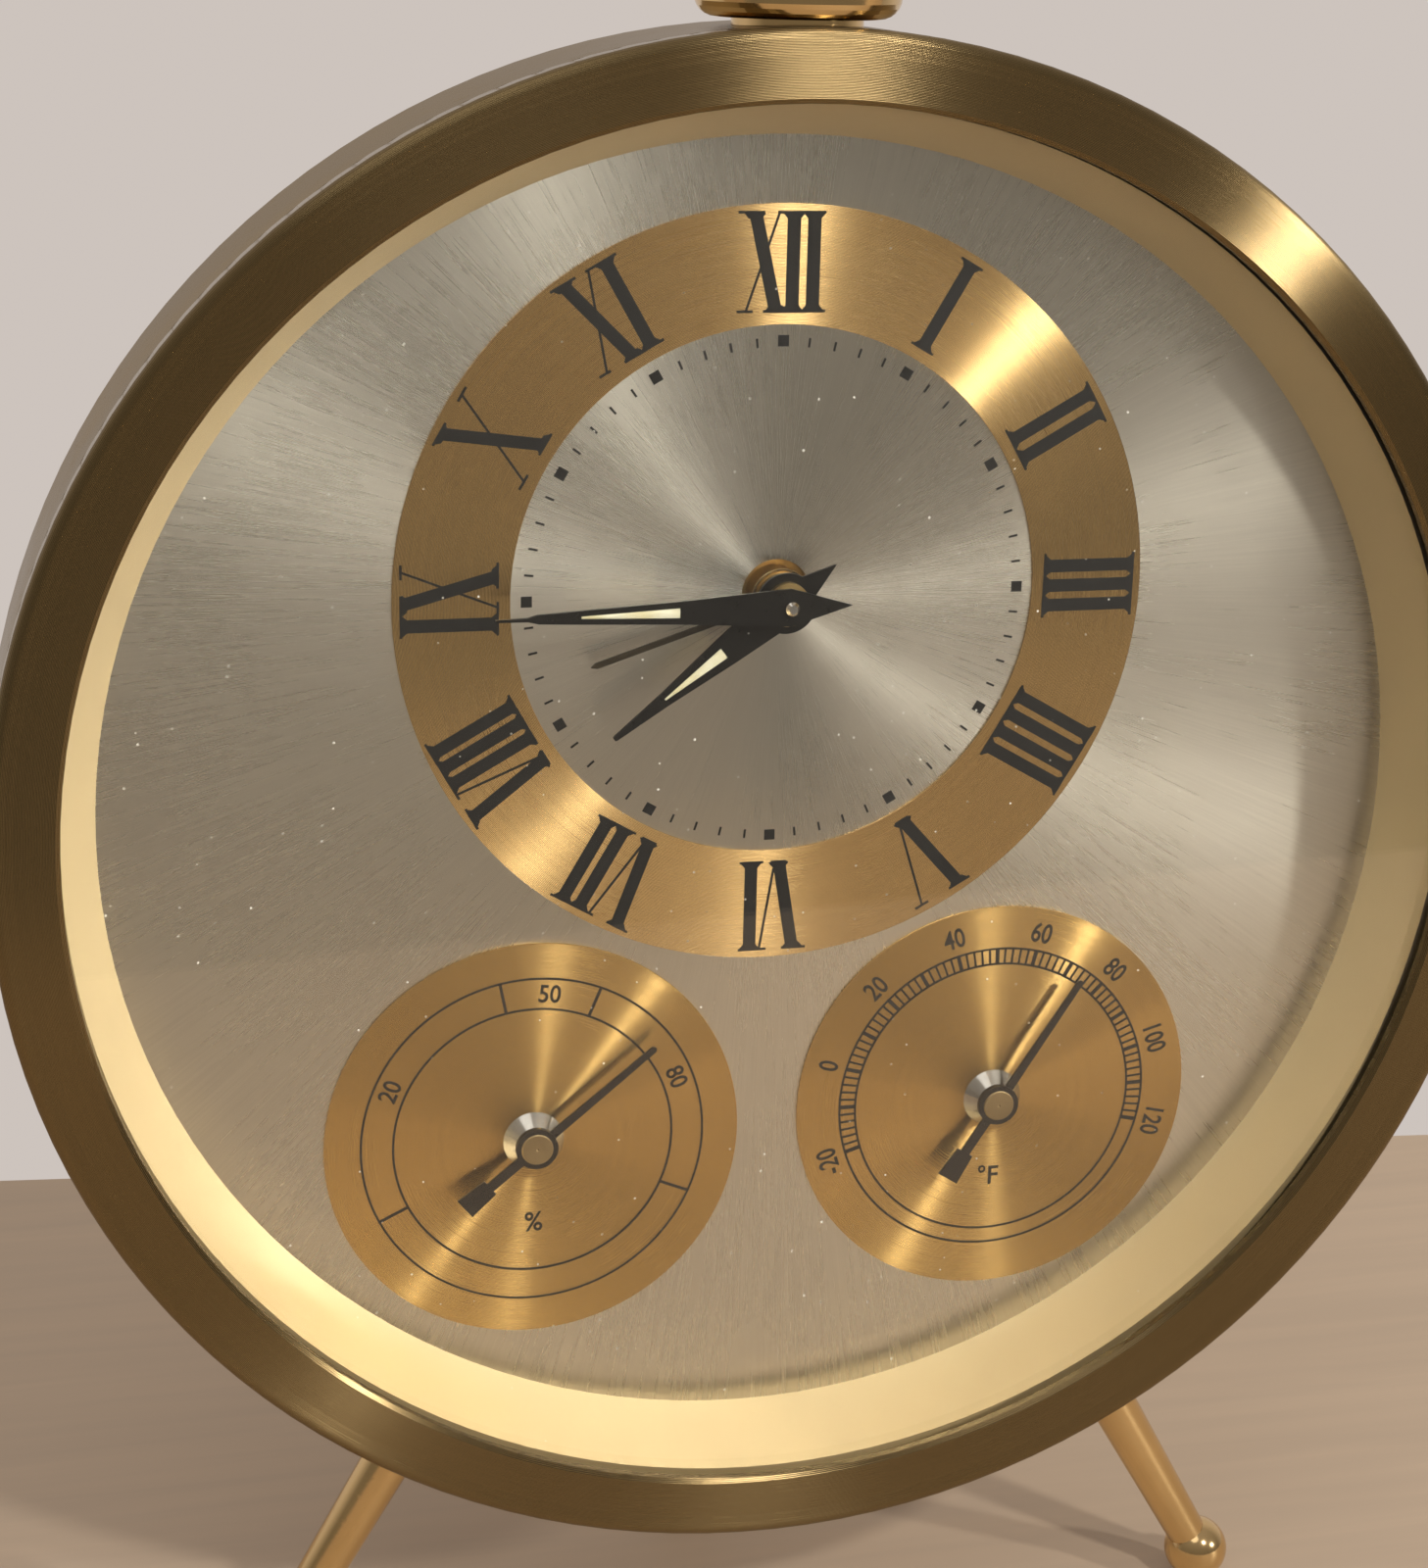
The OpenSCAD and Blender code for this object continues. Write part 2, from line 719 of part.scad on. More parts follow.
module bezel_ring() {
  color("#c8a860") spun(concat(
    [[bezel_opening_r, bezel_edge_chamfer], [bezel_opening_r + bezel_edge_chamfer, 0]],
    arc([case_r - bezel_shoulder_r, bezel_shoulder_r], bezel_shoulder_r, -90, 0, 8),
    [[case_r, bezel_depth], [bezel_skirt_r, bezel_depth],
     [bezel_skirt_r, bezel_depth + bezel_skirt_depth],
     [bezel_skirt_r - bezel_skirt_wall, bezel_depth + bezel_skirt_depth],
     [bezel_skirt_r - bezel_skirt_wall, crystal_rear_y],
     [bezel_rebate_r, crystal_rear_y], [bezel_rebate_r, crystal_seat_y],
     [bezel_opening_r, crystal_seat_y]]
  ));
}

module crystal() {
  color("#e8f0f0") rod(crystal_r, crystal_seat_y, crystal_thick);
}

module inner_ring() {
  color("#e6cf94") spun([
    [ring_front_r, crystal_rear_y], [ring_flange_r, crystal_rear_y],
    [ring_flange_r, crystal_rear_y + ring_wall], [ring_front_r + ring_wall, crystal_rear_y + ring_wall],
    [ring_foot_r + ring_wall, dial_y], [ring_foot_r, dial_y]
  ]);
}

module dial_plate() {
  color("#c9c0ac") difference() {
    rod(dial_r, dial_y, dial_thick);
    at_clock([0, 0]) rod(dial_hole_r, dial_y - past, dial_thick + past * 2);
    at_xz(hygro_x, hygro_z) rod(boss_top_r, dial_y - past, dial_thick + past * 2);
    at_xz(thermo_x, thermo_z) rod(boss_top_r, dial_y - past, dial_thick + past * 2);
    translate([-notch_half_w, dial_y - past, button_foot_r - free_gap]) {
      cube([notch_half_w * 2, dial_thick + past * 2, dial_r]);
    }
  }
}

module chapter_ring() {
  color("#c09a58") at_clock([0, 0]) slab(dial_y - disc_thick, disc_thick) {
    ring(chapter_outer_r, chapter_inner_r);
  }
}

module weather_disc() {
  difference() {
    rod(weather_disc_r, dial_y - disc_thick, disc_thick);
    rod(boss_top_r, dial_y - past, past * 2);
  }
}

module hygrometer_disc() {
  color("#c09a58") at_xz(hygro_x, hygro_z) weather_disc();
}

module thermometer_disc() {
  color("#c09a58") at_xz(thermo_x, thermo_z) weather_disc();
}

// Curved slot in the rear cover that the tip of the regulator runs in.
module regulator_slot_outline(half_w) {
  difference() {
    circle(regulator_len + half_w);
    circle(regulator_len - half_w);
    for (side = [-1, 1]) {
      rotate(side * regulator_slot_angle) translate([-regulator_len * 2, side > 0 ? 0 : -regulator_len * 2]) {
        square([regulator_len * 4, regulator_len * 2]);
      }
    }
    translate([-regulator_len * 2, -regulator_len * 2]) square([regulator_len * 2, regulator_len * 4]);
  }
}

module vent_field(x, z) {
  for (i = [0 : vent_count - 1]) {
    at_xz(x, z) rotate([0, i * 360 / vent_count, 0]) translate([vent_circle_r, 0, 0]) {
      rod(vent_r, cover_rear_y - cover_wall - past, cover_wall + past * 2);
    }
  }
  at_xz(x, z) rod(vent_r, cover_rear_y - cover_wall - past, cover_wall + past * 2);
}

module rear_cover() {
  color("#b49a5e") difference() {
    union() {
      spun(concat(
        [[cover_r - cover_wall, drum_rear_y], [cover_flange_r, drum_rear_y],
         [cover_flange_r, drum_rear_y + cover_flange_thick], [cover_r, drum_rear_y + cover_flange_thick]],
        arc([cover_r - cover_edge_r, cover_rear_y - cover_edge_r], cover_edge_r, 0, 90, 6),
        [[0, cover_rear_y], [0, cover_rear_y - cover_wall]],
        arc([cover_r - cover_edge_r, cover_rear_y - cover_edge_r], cover_edge_r - cover_wall, 90, 0, 6)
      ));
      difference() {
        rear_leg_frame() translate([0, 0, -rear_nut_drop - past]) {
          cylinder(r = leg_collar_r + rear_leg_seat_extra, h = rear_nut_drop + past);
        }
        rod(cover_r - cover_wall / 2, 0, cover_rear_y);
      }
      at_clock(sounding_post_pos)
        rod(sounding_post_r, sounding_post_y, cover_rear_y - cover_wall / 2 - sounding_post_y);
    }
    rear_leg_frame() translate([0, 0, -rear_nut_drop * 2])
      cylinder(r = leg_stud_r + running_gap, h = rear_nut_drop * 3);
    at_clock([0, 0]) rod(knob_hole_r, cover_rear_y - cover_wall - past, cover_wall + past * 2);
    at_clock(alarm_set_pos) rod(knob_hole_r, cover_rear_y - cover_wall - past, cover_wall + past * 2);
    at_clock(time_barrel_pos) rod(key_hole_r, cover_rear_y - cover_wall - past, cover_wall + past * 2);
    at_clock(alarm_barrel_pos) rod(key_hole_r, cover_rear_y - cover_wall - past, cover_wall + past * 2);
    at_clock(balance_pos) slab(cover_rear_y - cover_wall - past, cover_wall + past * 2) {
      regulator_slot_outline(regulator_slot_half_w);
    }
    vent_field(hygro_x, hygro_z);
    vent_field(thermo_x, thermo_z);
    for (i = [0 : cover_screw_count - 1]) {
      rotate([0, cover_screw_first_angle + i * 360 / cover_screw_count, 0]) {
        translate([cover_screw_circle_r, 0, 0])
          rod(cover_screw_shank_r, drum_rear_y - past, cover_flange_thick + past * 2);
      }
    }
  }
}

module cover_screws() {
  color("#d8c48c") for (i = [0 : cover_screw_count - 1]) {
    rotate([0, cover_screw_first_angle + i * 360 / cover_screw_count, 0])
      translate([cover_screw_circle_r, 0, 0]) {
      difference() {
        union() {
          rod(cover_screw_shank_r, drum_rear_y + cover_flange_thick - cover_screw_shank_len,
            cover_screw_shank_len);
          taper(cover_screw_head_r, cover_screw_head_r * 0.8, drum_rear_y + cover_flange_thick,
            cover_screw_head_h);
        }
        translate([-cover_screw_head_r * 2,
          drum_rear_y + cover_flange_thick + cover_screw_head_h - cover_screw_slot_depth,
            -cover_screw_slot_w / 2]) {
          cube([cover_screw_head_r * 4, cover_screw_slot_depth * 2, cover_screw_slot_w]);
        }
      }
    }
  }
}

// Turned leg: stud, tapered shaft and ball.
module leg(stud_len) {
  translate([0, 0, -stud_len]) cylinder(r = leg_stud_r, h = stud_len + leg_collar_h);
  translate([0, 0, leg_collar_h]) cylinder(r1 = leg_top_r, r2 = leg_ball_end_r, h = leg_len - leg_collar_h);
  translate([0, 0, leg_len]) sphere(ball_r);
}

module leg_left() {
  color("#c8a860") front_leg_frame(-1) leg(front_stud_len);
}

module leg_right() {
  color("#c8a860") front_leg_frame(1) leg(front_stud_len);
}

module leg_rear() {
  color("#c8a860") rear_leg_frame() leg(rear_stud_len);
}

module leg_collar() {
  rotate_extrude() polygon(concat(
    [[leg_stud_r + running_gap, 0], [leg_collar_r, 0]],
    arc([leg_collar_r - leg_collar_round, leg_collar_h - leg_collar_round], leg_collar_round, 0, 90, 4),
    [[leg_stud_r + running_gap, leg_collar_h]]
  ));
}

module leg_collars() {
  color("#c8a860") {
    for (side = [-1, 1]) front_leg_frame(side) leg_collar();
    rear_leg_frame() leg_collar();
  }
}

module leg_nut() {
  linear_extrude(leg_nut_h) difference() {
    circle(leg_nut_r, $fn = 6);
    circle(leg_stud_r);
  }
}

module leg_nuts() {
  color("#b8b8b8") {
    for (side = [-1, 1]) {
      front_leg_frame(side) translate([0, 0, -front_stud_len]) leg_nut();
    }
    rear_leg_frame() translate([0, 0, -rear_stud_len]) leg_nut();
  }
}

module alarm_button() {
  color("#c8a860") button_frame() {
    rotate_extrude() polygon(concat(
      [[0, button_cap_ceiling], [button_cap_hollow_r, button_cap_ceiling],
       [button_cap_hollow_r, button_cap_bottom]],
      arc([button_cap_r - button_cap_round, button_cap_bottom + button_cap_round], button_cap_round,
        -90, 0, 6),
      [for (i = [1 : 12])
        [button_cap_r * cos(i * 90 / 12),
         button_cap_bottom + button_cap_round + cap_dome_h * sin(i * 90 / 12)]]
    ));
    translate([0, 0, button_foot_r - case_r])
      cylinder(r = button_shank_r, h = case_r - button_foot_r + button_cap_ceiling);
  }
  color("#b8b8b8") {
    translate([-button_foot_half_w, button_y - button_shank_r, button_foot_r]) {
      cube([button_foot_half_w * 2, button_foot_rear_y - button_y + button_shank_r, button_foot_thick]);
    }
  }
}

module button_neck() {
  color("#c8a860") difference() {
    union() {
      button_frame() translate([0, 0, -drum_wall * 2])
        cylinder(r = button_neck_r, h = drum_wall * 2 + button_neck_top);
    }
    rod(case_r, 0, drum_rear_y + button_neck_r);
    button_frame() translate([0, 0, button_well_floor]) cylinder(r = button_well_r, h = button_neck_top);
    button_frame() translate([0, 0, -drum_wall * 3]) {
      cylinder(r = button_shank_r + running_gap, h = drum_wall * 4 + button_neck_top);
    }
  }
  color("#c8a860") difference() {
    button_frame() translate([0, 0, -button_tube_len])
      cylinder(r = button_tube_r, h = button_tube_len + button_well_floor / 2);
    button_frame() translate([0, 0, -drum_wall * 3]) {
      cylinder(r = button_shank_r + running_gap, h = drum_wall * 4 + button_neck_top);
    }
  }
}

// Coil spring under the cap, as stacked rings joined by a short strip.
module button_spring() {
  spring_len = button_cap_ceiling - button_well_floor;
  rise = (spring_len - button_spring_wire_r * 2) / (button_spring_turns - 1);
  color("#b8b8b8") button_frame() translate([0, 0, button_well_floor + button_spring_wire_r]) {
    for (i = [0 : button_spring_turns - 1]) {
      translate([0, 0, i * rise]) rotate_extrude() translate([button_spring_r, 0])
        circle(button_spring_wire_r, $fn = 24);
    }
    for (i = [0 : button_spring_turns - 2]) {
      rotate(i * 180) translate([button_spring_r, 0, i * rise])
        cylinder(r = button_spring_wire_r / 2, h = rise);
    }
  }
}

// Rocking lever behind the dial. The foot of the button holds its long arm down, and the pin
// at its short arm brakes the hammer. The weight on its tail balances it about its stud.
module stop_lever() {
  color("#b8b8b8") at_clock(stop_lever_pos) difference() {
    union() {
      rod(stop_hub_r, stop_lever_y, stop_lever_thick);
      slab(stop_lever_y, stop_lever_thick) {
        arm_outline([0, 0], stop_pad, stop_arm_w);
        translate([stop_pad[0] - stop_pad_half_w, stop_pad[1] - stop_pad_h]) {
          square([stop_pad_half_w * 2, stop_pad_h]);
        }
        arm_outline([0, 0], stop_pin, stop_arm_w);
        arm_outline([0, 0], stop_tail, stop_arm_w);
      }
      translate([stop_tail[0], 0, stop_tail[1]]) rod(stop_weight_r, stop_lever_y, stop_weight_len);
      translate([stop_pin[0], 0, stop_pin[1]]) rod(stop_pin_r, stop_lever_y, stop_pin_len);
    }
    rod(stop_stud_r + running_gap, stop_lever_y - past, stop_lever_thick + past * 2);
  }
}

module arm_outline(from, to, w) {
  run = to - from;
  length = norm(run);
  translate(from) rotate(atan2(run[1], run[0])) {
    translate([0, -w / 2]) square([length, w]);
    translate([length, 0]) circle(w / 2);
  }
}

// Outline of a pointed hand that lies along +Y of the drawing, narrowing from step to step.
module hand_outline(length, tail, hub_w, steps, bore_r) {
  difference() {
    polygon(concat(
      [[-hub_w / 2, 0], [0, -tail], [hub_w / 2, 0]],
      [for (step = steps) [hub_w * step[1] / 2, length * step[0]]],
      [for (i = [len(steps) - 1 : -1 : 0]) [-hub_w * steps[i][1] / 2, length * steps[i][0]]]
    ));
    circle(bore_r);
  }
}

module turned(clock_angle) {
  rotate(-clock_angle) children();
}

// Open slot that narrows towards the tip, for the luminous filling.
module lume_slot(length, hub_w, ends) {
  polygon([
    [-hub_w * ends[0][1] / 2, length * ends[0][0]], [hub_w * ends[0][1] / 2, length * ends[0][0]],
    [hub_w * ends[1][1] / 2, length * ends[1][0]], [-hub_w * ends[1][1] / 2, length * ends[1][0]]
  ]);
}

module minute_hand() {
  color("#141414") at_clock([0, 0]) slab(minute_hand_y, hand_thick) turned(minute_clock_angle) difference() {
    hand_outline(minute_hand_len, hand_tail_len, minute_hand_w, minute_step_shares, hand_pin_r);
    lume_slot(minute_hand_len, minute_hand_w, minute_lume_shares);
  }
}

module hour_hand() {
  color("#141414") at_clock([0, 0]) slab(hour_hand_y, hand_thick) turned(hour_clock_angle) difference() {
    union() {
      hand_outline(hour_hand_len, hand_tail_len, hour_hand_w, hour_step_shares, hour_tube_r);
      circle(hour_hub_r);
    }
    circle(hour_tube_r);
    lume_slot(hour_hand_len, hour_hand_w, hour_lume_shares);
  }
}

module alarm_hand() {
  color("#141414") at_clock([0, 0]) slab(alarm_hand_y, thin_hand_thick) turned(alarm_clock_angle)
    difference() {
    union() {
      polygon([
        [alarm_hand_w / 2, 0], [alarm_hand_w / 2, alarm_hand_len - alarm_hand_w], [0, alarm_hand_len],
        [-alarm_hand_w / 2, alarm_hand_len - alarm_hand_w], [-alarm_hand_w / 2, 0]
      ]);
      circle(alarm_hub_r);
    }
    circle(alarm_tube_r);
  }
}

// Arbor through the whole movement. It carries the minute hand at the front and the
// set-hands knob at the back, and the centre wheel drives it by friction.
module centre_arbor() {
  color("#c9b27a") at_clock([0, 0]) {
    rod(arbor_r, minute_hand_y + hand_thick,
      knob_y + set_knob_depth - knob_skin - minute_hand_y - hand_thick);
    rod(sleeve_r, minute_hand_y + hand_thick, front_plate_y - free_gap - minute_hand_y - hand_thick);
    slab(minute_wheel_y - cannon_proud, minute_wheel_thick + cannon_proud * 2)
      pinion_outline(motion_module, cannon_teeth, 0);
  }
}

module hand_pin() {
  color("#d8d8d8") at_clock([0, 0]) spun([
    [0, pin_front_y], [hand_pin_r * 0.6, pin_front_y], [hand_pin_r, pin_front_y + crown_h],
    [hand_pin_r, minute_hand_y + hand_thick], [0, minute_hand_y + hand_thick]
  ]);
}

module hour_wheel() {
  color("#c9a54f") at_clock([0, 0]) difference() {
    union() {
      rod(hour_tube_r, hour_hand_y - hour_tube_proud,
        hour_wheel_y + hour_wheel_thick - hour_hand_y + hour_tube_proud);
      slab(hour_wheel_y, hour_wheel_thick) wheel_outline(fine_module, hour_teeth, hour_turn);
    }
    rod(sleeve_r + running_gap, hour_hand_y - past * 2,
      hour_wheel_y + hour_wheel_thick - hour_hand_y + past * 3);
  }
}

module alarm_wheel() {
  color("#c9a54f") at_clock([0, 0]) difference() {
    union() {
      rod(alarm_tube_r, alarm_hand_y - alarm_tube_proud,
        alarm_wheel_y + alarm_wheel_thick - alarm_hand_y + alarm_tube_proud);
      slab(alarm_wheel_y, alarm_wheel_thick) wheel_outline(fine_module, alarm_teeth, 0);
    }
    rod(hour_tube_r + running_gap, alarm_hand_y - past * 2,
      alarm_wheel_y + alarm_wheel_thick - alarm_hand_y + past * 3);
  }
}

module minute_wheel() {
  color("#c9a54f") at_clock(minute_wheel_pos) difference() {
    union() {
      slab(minute_wheel_y, minute_wheel_thick) wheel_outline(motion_module, minute_teeth, minute_turn);
      slab(hour_wheel_y - join, minute_wheel_y - hour_wheel_y + join) {
        pinion_outline(fine_module, minute_pinion_teeth, minute_turn);
      }
    }
    rod(arbor_thin_r + running_gap, hour_wheel_y - past,
      minute_wheel_y + minute_wheel_thick - hour_wheel_y + past * 2);
  }
}

// Knob with a ring of fine flutes.
module knob(r, depth, bore_r, flutes) {
  difference() {
    spun([[0, knob_y], [r - knob_edge, knob_y], [r, knob_y + knob_edge],
      [r, knob_y + depth - knob_edge], [r - knob_edge, knob_y + depth], [0, knob_y + depth]]);
    rod(bore_r, knob_y - past, depth + past - knob_skin);
    for (i = [0 : flutes - 1]) {
      rotate([0, i * 360 / flutes, 0]) translate([r + flute_r * flute_out_share, 0, 0]) {
        rod(flute_r, knob_y - past, depth + past * 2);
      }
    }
  }
}

module set_hands_knob() {
  color("#c9b27a") at_clock([0, 0]) knob(set_knob_r, set_knob_depth, arbor_r, set_knob_flutes);
}

module alarm_set_knob() {
  color("#c9b27a") at_clock(alarm_set_pos)
    knob(alarm_knob_r, alarm_knob_depth, arbor_thin_r, alarm_knob_flutes);
}

module alarm_set_arbor() {
  color("#c9b27a") at_clock(alarm_set_pos) {
    rod(arbor_thin_r, alarm_wheel_y - join, knob_y + alarm_knob_depth - knob_skin - alarm_wheel_y + join);
    slab(alarm_wheel_y - join, alarm_wheel_thick + join * 2) {
      pinion_outline(fine_module, alarm_pinion_teeth, alarm_pinion_turn);
    }
  }
}

// Pointer on its arbor, along +Y of the drawing: hub, rod, tail and paddle.
module weather_pointer(clock_angle) {
  slab(pointer_y, pointer_thick) turned(clock_angle) difference() {
    union() {
      polygon([
        [pointer_w / 2, 0], [pointer_tip_w / 2, pointer_len - pointer_point], [0, pointer_len],
        [-pointer_tip_w / 2, pointer_len - pointer_point], [-pointer_w / 2, 0]
      ]);
      translate([-pointer_tail_w / 2, -pointer_paddle_start - pointer_tail_w])
        square([pointer_tail_w, pointer_paddle_start + pointer_tail_w]);
      polygon([
        [pointer_paddle_root_w / 2, -pointer_paddle_start], [pointer_paddle_w / 2, -pointer_tail_len],
        [-pointer_paddle_w / 2, -pointer_tail_len], [-pointer_paddle_root_w / 2, -pointer_paddle_start]
      ]);
    }
    circle(pointer_cap_r);
  }
  difference() {
    rod(pointer_hub_r, pointer_hub_y, pointer_hub_thick);
    rod(pointer_cap_r, pointer_hub_y - past, past + pointer_hub_thick / 2);
  }
  rod(pointer_arbor_r, pointer_hub_y + pointer_hub_thick / 2,
    coil_y + coil_h + pointer_arbor_proud - pointer_hub_y - pointer_hub_thick / 2);
}

module pointer_cap() {
  spun([
    [0, pointer_cap_y + pointer_dimple], [pointer_dimple, pointer_cap_y],
    [pointer_cap_r - pointer_cap_edge, pointer_cap_y], [pointer_cap_r, pointer_cap_y + pointer_cap_edge],
    [pointer_cap_r, pointer_hub_y + pointer_hub_thick / 2], [0, pointer_hub_y + pointer_hub_thick / 2]
  ]);
}

// Housing behind the dial. Its polished boss stands through the disc, and a bridge at the
// back carries the end of the pointer arbor.
module weather_cup() {
  difference() {
    union() {
      spun([
        [0, dial_rear_y], [cup_r, dial_rear_y], [cup_r, cup_rear_y], [cup_r - cup_wall, cup_rear_y],
        [cup_r - cup_wall, dial_rear_y + cup_wall], [0, dial_rear_y + cup_wall]
      ]);
      rod(boss_top_r, dial_y - disc_thick, dial_rear_y + cup_wall - dial_y + disc_thick);
      taper(boss_top_r, boss_r, dial_y - disc_thick - boss_h, boss_h);
      intersection() {
        rod(cup_r - cup_wall / 2, cup_rear_y - cup_wall * 2, cup_wall * 2);
        slab(cup_rear_y - cup_wall * 2, cup_wall * 2) square([cup_r * 2, cup_bridge_w], center = true);
      }
    }
    rod(pointer_arbor_r + running_gap, dial_y - disc_thick - boss_h - past, cup_rear_y);
  }
}

module weather_coil() {
  slab(coil_y, coil_h) spiral_outline(coil_inner_r, coil_outer_r, coil_turns, coil_strip, 24);
}

module hygrometer_pointer() {
  color("#141414") at_xz(hygro_x, hygro_z) weather_pointer(hygro_clock_angle);
}

module hygrometer_cap() {
  color("#c8a860") at_xz(hygro_x, hygro_z) pointer_cap();
}

module hygrometer_cup() {
  color("#b9b9b5") at_xz(hygro_x, hygro_z) weather_cup();
}

module hygrometer_coil() {
  color("#a8793a") at_xz(hygro_x, hygro_z) weather_coil();
}

module thermometer_pointer() {
  color("#141414") at_xz(thermo_x, thermo_z) weather_pointer(thermo_clock_angle);
}

module thermometer_cap() {
  color("#c8a860") at_xz(thermo_x, thermo_z) pointer_cap();
}

module thermometer_cup() {
  color("#b9b9b5") at_xz(thermo_x, thermo_z) weather_cup();
}

module thermometer_coil() {
  color("#b8863c") at_xz(thermo_x, thermo_z) weather_coil();
}

module plate_outline() {
  polygon([
    [-plate_half_w + plate_corner, plate_bottom], [plate_half_w - plate_corner, plate_bottom],
    [plate_half_w, plate_bottom + plate_corner], [plate_half_w, plate_top - plate_corner],
    [plate_half_w - plate_corner, plate_top], [-plate_half_w + plate_corner, plate_top],
    [-plate_half_w, plate_top - plate_corner], [-plate_half_w, plate_bottom + plate_corner]
  ]);
}

module plate_holes() {
  for (place = pillar_places) translate(place) circle(pillar_stud_r);
  for (place = pivot_places) translate(place) circle(pivot_r + running_gap);
  circle(arbor_r + running_gap);
  translate(alarm_set_pos) circle(arbor_thin_r + running_gap);
}

module front_plate() {
  color("#c9a54f") {
    at_clock([0, 0]) slab(front_plate_y, plate_thick) difference() {
      plate_outline();
      plate_holes();
      for (place = [time_barrel_pos, alarm_barrel_pos]) translate(place) circle(arbor_r + running_gap);
      translate(stop_lever_pos + stop_pin) circle(stop_pin_r + stop_pin_room);
    }
    at_clock(minute_wheel_pos)
      rod(arbor_thin_r, hour_wheel_y - stud_proud,
        front_plate_y - hour_wheel_y + stud_proud + plate_thick / 2);
    at_clock(stop_lever_pos)
      rod(stop_stud_r, stop_lever_y - stud_proud,
        front_plate_y - stop_lever_y + stud_proud + plate_thick / 2);
    at_clock(stop_lever_pos)
      rod(stop_hub_r, stop_lever_y + stop_lever_thick,
        front_plate_y - stop_lever_y - stop_lever_thick + plate_thick / 2);
    at_clock(pallet_pos)
      rod(pivot_r, plate_inside_y - plate_thick / 2,
        pallet_y + pallet_thick - plate_inside_y + plate_thick / 2 + join);
    for (side = [-1, 1]) {
      at_clock([side * (plate_half_w - dial_post_inset), 0]) {
        rod(dial_post_r, dial_rear_y, front_plate_y - dial_rear_y + plate_thick / 2);
      }
    }
    at_clock([0, plate_bottom + dial_post_inset])
      rod(dial_post_r, dial_rear_y, front_plate_y - dial_rear_y + plate_thick / 2);
  }
}

module back_plate() {
  color("#c9a54f") difference() {
    union() {
      at_clock([0, 0]) slab(back_plate_y, plate_thick) plate_outline();
      at_clock(balance_pos)
        rod(regulator_boss_r, back_plate_rear_y - plate_thick / 2, plate_thick / 2 + regulator_boss_h);
      for (place = [time_barrel_pos, alarm_barrel_pos]) {
        at_clock(place + click_offset) {
          rod(click_stud_r, back_plate_rear_y - plate_thick / 2,
            plate_thick / 2 + ratchet_y + ratchet_thick - back_plate_rear_y);
        }
      }
    }
    at_clock([0, 0]) slab(back_plate_y - past, plate_thick + regulator_boss_h + past * 2) plate_holes();
    for (place = [time_barrel_pos, alarm_barrel_pos]) {
      at_clock(place) rod(barrel_arbor_r + running_gap, back_plate_y - past, plate_thick + past * 2);
    }
  }
}

module movement_pillars() {
  color("#c9a54f") for (place = pillar_places) at_clock(place) {
    rod(pillar_r, plate_inside_y, plate_gap);
    rod(pillar_stud_r, front_plate_y - plate_nut_h, plate_gap + plate_thick * 2 + plate_nut_h * 2);
  }
}

module plate_nuts() {
  color("#b8b8b8") for (place = pillar_places) at_clock(place) {
    for (y = [front_plate_y - plate_nut_h, back_plate_rear_y]) {
      slab(y, plate_nut_h) difference() {
        circle(plate_nut_r, $fn = 6);
        circle(pillar_stud_r);
      }
    }
  }
}

// Arbor with a pivot at each end, between the two plates.
module train_arbor(r) {
  rod(r, plate_inside_y + end_shake, plate_gap - end_shake * 2);
  rod(pivot_r, front_plate_y + end_shake, plate_gap + plate_thick * 2 - end_shake * 2);
}

module centre_wheel() {
  color("#c9a54f") at_clock([0, 0]) difference() {
    union() {
      rod(centre_tube_r, plate_inside_y + centre_tube_play, plate_gap - centre_tube_play * 2);
      slab(centre_wheel_y, centre_wheel_thick)
        spoked(fine_module, centre_teeth, 0, centre_hub_r, wheel_spokes, arbor_r);
      slab(centre_pinion_y, centre_pinion_len) pinion_outline(great_module, centre_pinion_teeth, 0);
    }
    rod(arbor_r + running_gap, front_plate_y, plate_gap + plate_thick * 2);
  }
}

module third_wheel() {
  color("#c9a54f") at_clock(third_pos) {
    train_arbor(arbor_thin_r);
    slab(third_wheel_y, wheel_thick)
      spoked(fine_module, third_teeth, third_turn, wheel_hub_r, wheel_spokes, filled_bore_r);
    slab(centre_wheel_y - pinion_side, centre_wheel_thick + third_pinion_over)
      pinion_outline(fine_module, third_pinion_teeth, third_turn);
  }
}

module fourth_wheel() {
  color("#c9a54f") at_clock(fourth_pos) {
    train_arbor(arbor_thin_r);
    slab(fourth_wheel_y, wheel_thick)
      spoked(train_module, fourth_teeth, fourth_turn, wheel_hub_r, wheel_spokes, filled_bore_r);
    slab(third_wheel_y - pinion_side, wheel_thick + pinion_side * 2)
      pinion_outline(fine_module, fourth_pinion_teeth, fourth_turn);
  }
}

module escape_wheel() {
  color("#c9a54f") at_clock(escape_pos) {
    train_arbor(escape_arbor_r);
    slab(escape_wheel_y, escape_wheel_thick) difference() {
      saw_outline(escape_r, escape_root_r, escape_teeth, escape_turn, 0.35);
      difference() {
        circle(escape_root_r - escape_rim_w);
        circle(escape_hub_r);
        for (i = [0 : 2]) rotate(i * 120) translate([0, -escape_spoke_w / 2])
          square([escape_root_r, escape_spoke_w]);
      }
    }
    slab(fourth_wheel_y - pinion_side, wheel_thick + pinion_side * 2)
      pinion_outline(train_module, escape_pinion_teeth, escape_pinion_turn);
  }
}

